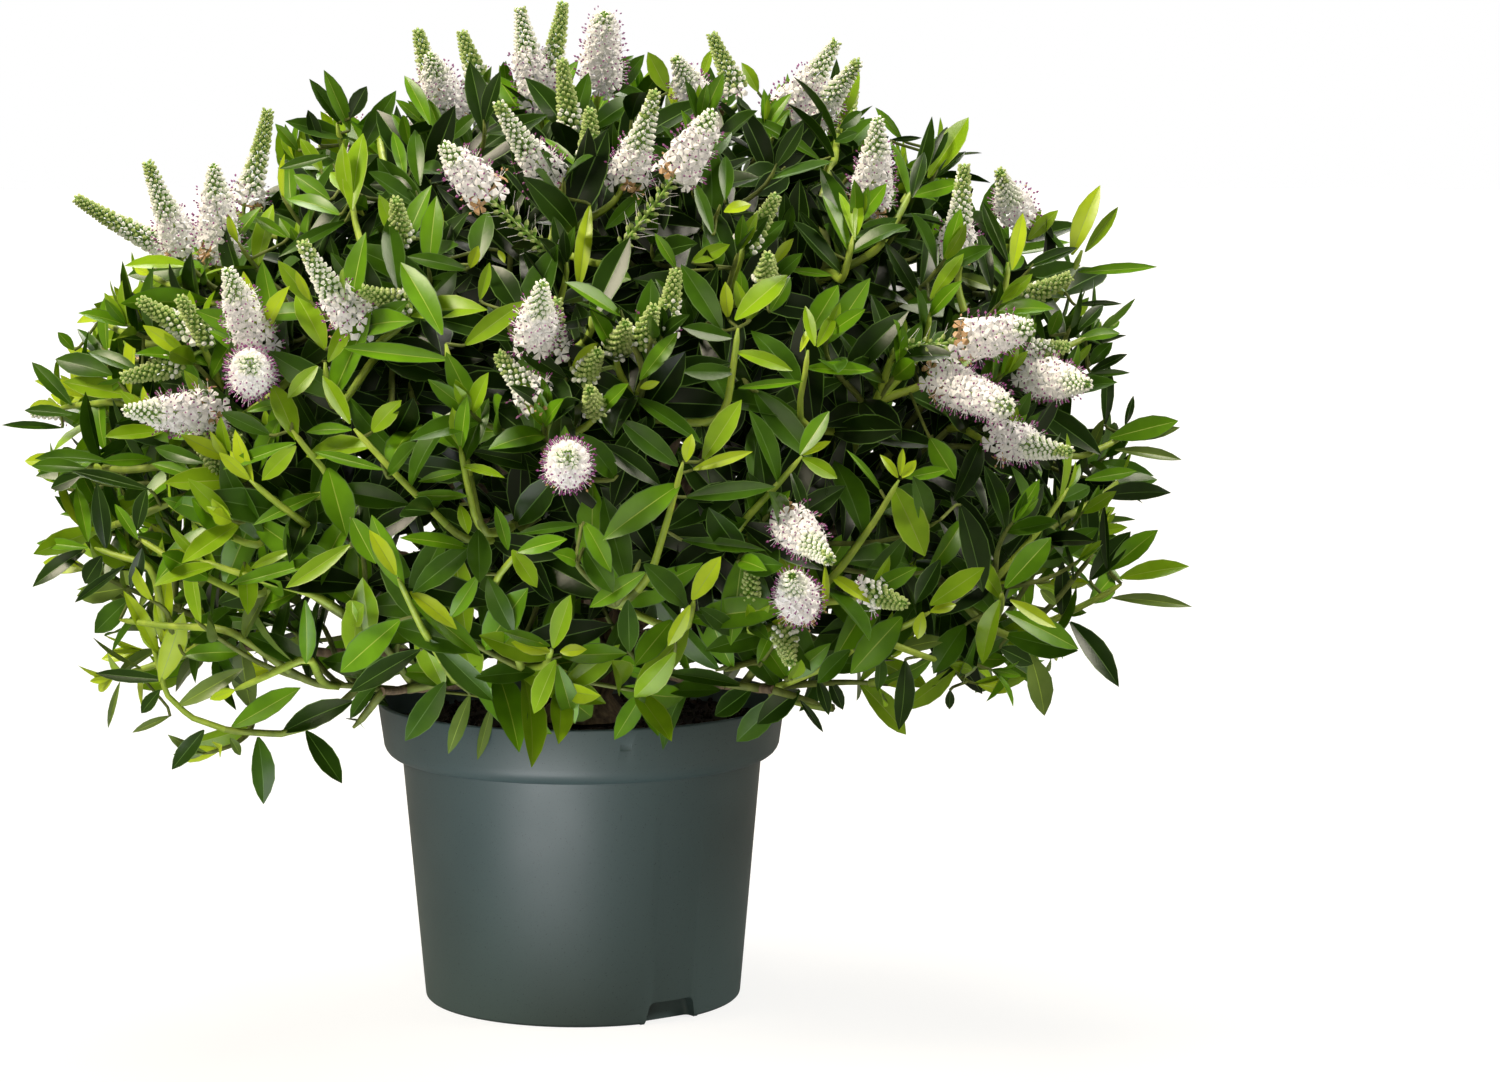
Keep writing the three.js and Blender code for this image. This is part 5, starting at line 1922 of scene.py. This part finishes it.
def flowerPrototype(petalTone, antherTone):
    # a tube, four petals that turn down to their tips, two stamens and a style, in metres along +Y
    f = flowerSetting
    petal, anther, filament = [flowerNames.index(n) for n in (petalTone, antherTone, "filament")]
    throat, reach, half, thread = f["tube"], f["petalReach"], f["petalHalf"], f["thread"]
    parts = [ringed([(0.0006, 0), (0.0011, throat)], 3, [petal])]
    wide, rise, tip = reach * 0.6, throat + 0.0014, throat + 0.0006
    corners = [(0.0002, throat - 0.0004, 0), (wide, rise, half), (wide, rise, -half),
               (reach, tip, half * 0.5), (reach, tip, -half * 0.5)]
    for turn in (45, 135, 225, 315):
        turned = Quaternion((0, 1, 0), radians(turn))
        parts.append(moved((corners, [(0, 1, 2), (2, 1, 3, 4)], [petal, petal]), (0, 0, 0), turned))
    for turn, long in ((20, f["stamen"]), (200, f["stamen"] * (1 - 0.22))):
        lean = Quaternion((0, 1, 0), radians(turn)) @ Quaternion((0, 0, 1), radians(-20))
        parts.append(moved(ribbon(thread, long, filament), (0, throat, 0), lean))
        head = ringed([(0, 0), (0.00064, 0.0009), (0, 0.0019)], 4, [anther, anther])
        parts.append(moved(head, lean @ Vector((0, long, 0)) + Vector((0, throat, 0)), lean))
    style = ribbon(0.00028, f["stamen"] * 1.2, filament)
    parts.append(moved(style, (0, throat, 0), Quaternion((0, 0, 1), radians(6))))
    return mergeShapes(parts)


def capsulePrototype():
    calyx, tone, style = [flowerNames.index(n) for n in ("calyx", "greenBud", "filament")]
    body = ringed([(0.0005, 0), (0.0011, 0.0022), (0.0009, 0.0036), (0, 0.0048)], 4, [calyx, tone, tone])
    thread = ringed([(0.00012, 0), (0.00008, 0.0060)], 3, [style])
    return mergeShapes([body, moved(thread, (0, 0.0046, 0), Quaternion((0, 0, 1), 0.1))])


def spikeAxis(spike):
    # foot to tip with a slight sag in the middle
    foot, tip = spike["foot"], spike["tip"]
    length = (tip - foot).length
    way = (tip - foot).normalized()
    bend = (upward - way * upward.z).normalized() if abs(way.z) < 0.99 else Vector((0, 0, 0))
    sag = bend * length * flowerSetting["arch"]
    return bezierPath(foot, foot + way * length * 0.35 - sag, foot + way * length * 0.7 - sag, tip, 16)


def standOn(path, distance, turn, stand, tilt, size):
    point, along = pointOn(path, distance)
    aside = along.cross(Vector((0.36, 0.48, 0.8))).normalized()
    outward = Quaternion(along, turn) @ aside
    way = outward * cos(tilt) + along * sin(tilt)
    side = way.cross(along).normalized()
    face = side.cross(way)
    return placement(point + outward * stand, side, way, face, size)


def dressSpike(spike, places):
    f, draw = flowerSetting, seededDraw(spike["seed"])
    path = spikeAxis(spike)
    length = pathLength(path)
    isOpen = min(spike["open"], f["mostOpen"])
    distance, count = 0.0, 0
    while distance < length - 0.0004:
        share = distance / length
        turn = radians(count * goldenTurn)
        jitter = radians(wander(draw, f["turnUp"]))
        at = distance
        if share < spike["over"]:
            kind, stand, tilt = "capsule", f["capsuleStand"], f["capsuleTilt"]
            size = between(f["capsuleSizes"], draw())
            distance += f["gaps"]["capsule"]
        elif share < isOpen:
            # the first open flowers from below are the widest
            near = (share - spike["over"]) / max(isOpen - spike["over"], 0.01)
            size = (f["openSize"] - f["openSmaller"] * near ** 2) * varied(draw)
            stand, tilt = f["openStand"], between(f["openTilt"], near)
            kind = "faded" if near < f["fadedTo"] and draw() < f["fadedShare"] else "flower"
            distance += f["gaps"]["flower"]
        else:
            near = (share - isOpen) / max(1 - isOpen, 0.01)
            size, tilt = between(f["budSize"], near), f["budTilt"]
            stand = between(f["budStand"], near ** f["standCurve"])
            white = near + wander(draw, f["whiteWander"]) < spike["open"] * f["whitePerOpen"] + f["whiteTo"]
            kind = "whiteBud" if white else "greenBud"
            distance += f["gaps"]["bud"] * (1.0 - f["budCloser"] * near)
        places[kind].append(standOn(path, at, turn, stand, radians(tilt) + jitter, size))
        count += 1
    return path


def makeBlossom():
    f, stalks = flowerSetting, []
    shapes = {"whiteBud": budPrototype("whiteBud"), "greenBud": budPrototype("greenBud"),
              "flower": flowerPrototype("petal", "anther"), "faded": flowerPrototype("faded", "faded"),
              "capsule": capsulePrototype()}
    places = {kind: [] for kind in shapes}
    for shoot in shoots:
        length = pathLength(shoot["path"])
        for spike in shoot["spikes"]:
            path = dressSpike(spike, places)
            radii = np.linspace(1, f["rachisTip"], len(path)) * f["rachis"]
            stalks.append(plainTube(path, radii, f["rachisSides"], 0))
            axil, along = pointOn(shoot["path"], max(length - spikeSetting["stalk"], length * 0.5))
            way = (spike["tip"] - spike["foot"]).normalized()
            reach = (spike["foot"] - axil).length * 0.4
            stalk = bezierPath(axil, axil + along * reach, spike["foot"] - way * reach, spike["foot"], 6)
            stalks.append(plainTube(stalk, [f["rachis"] * f["stalk"]] * len(stalk), f["rachisSides"], 0))
    materials = []
    for name, (low, high) in flowerTones.items():
        material = mottledMaterial(name + "Tone", low, high, 260, 0.55, 0.1, 0.0002)
        shader = material.node_tree.nodes["Principled BSDF"]
        # painted glow: petals, filaments and white buds give off a little light of their own
        setInput(shader, "Emission Color", (*fromHex(high), 1))
        setInput(shader, "Emission Strength", paintedPetalGlow.get(name, 0))
        materials.append(material)
    pieces = []
    for pieceName, kinds, smooth in blossomPieces:
        stamps = [stamp(shapes[kind], np.array(places[kind])) for kind in kinds]
        pieces.append(meshFrom(pieceName, stamps, materials, smooth))
    stalkGreen = mottledMaterial("stalkGreen", "86a548", "9ab85a", 150, 0.55, 0.2, 0.0003)
    pieces.append(meshFrom("flowerStalks", stalks, [stalkGreen]))
    for piece in pieces:
        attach(piece, "root")
    print("buds, flowers, capsules:", {kind: len(found) for kind, found in places.items()})


makeBlossom()
reportStage("flower spikes")
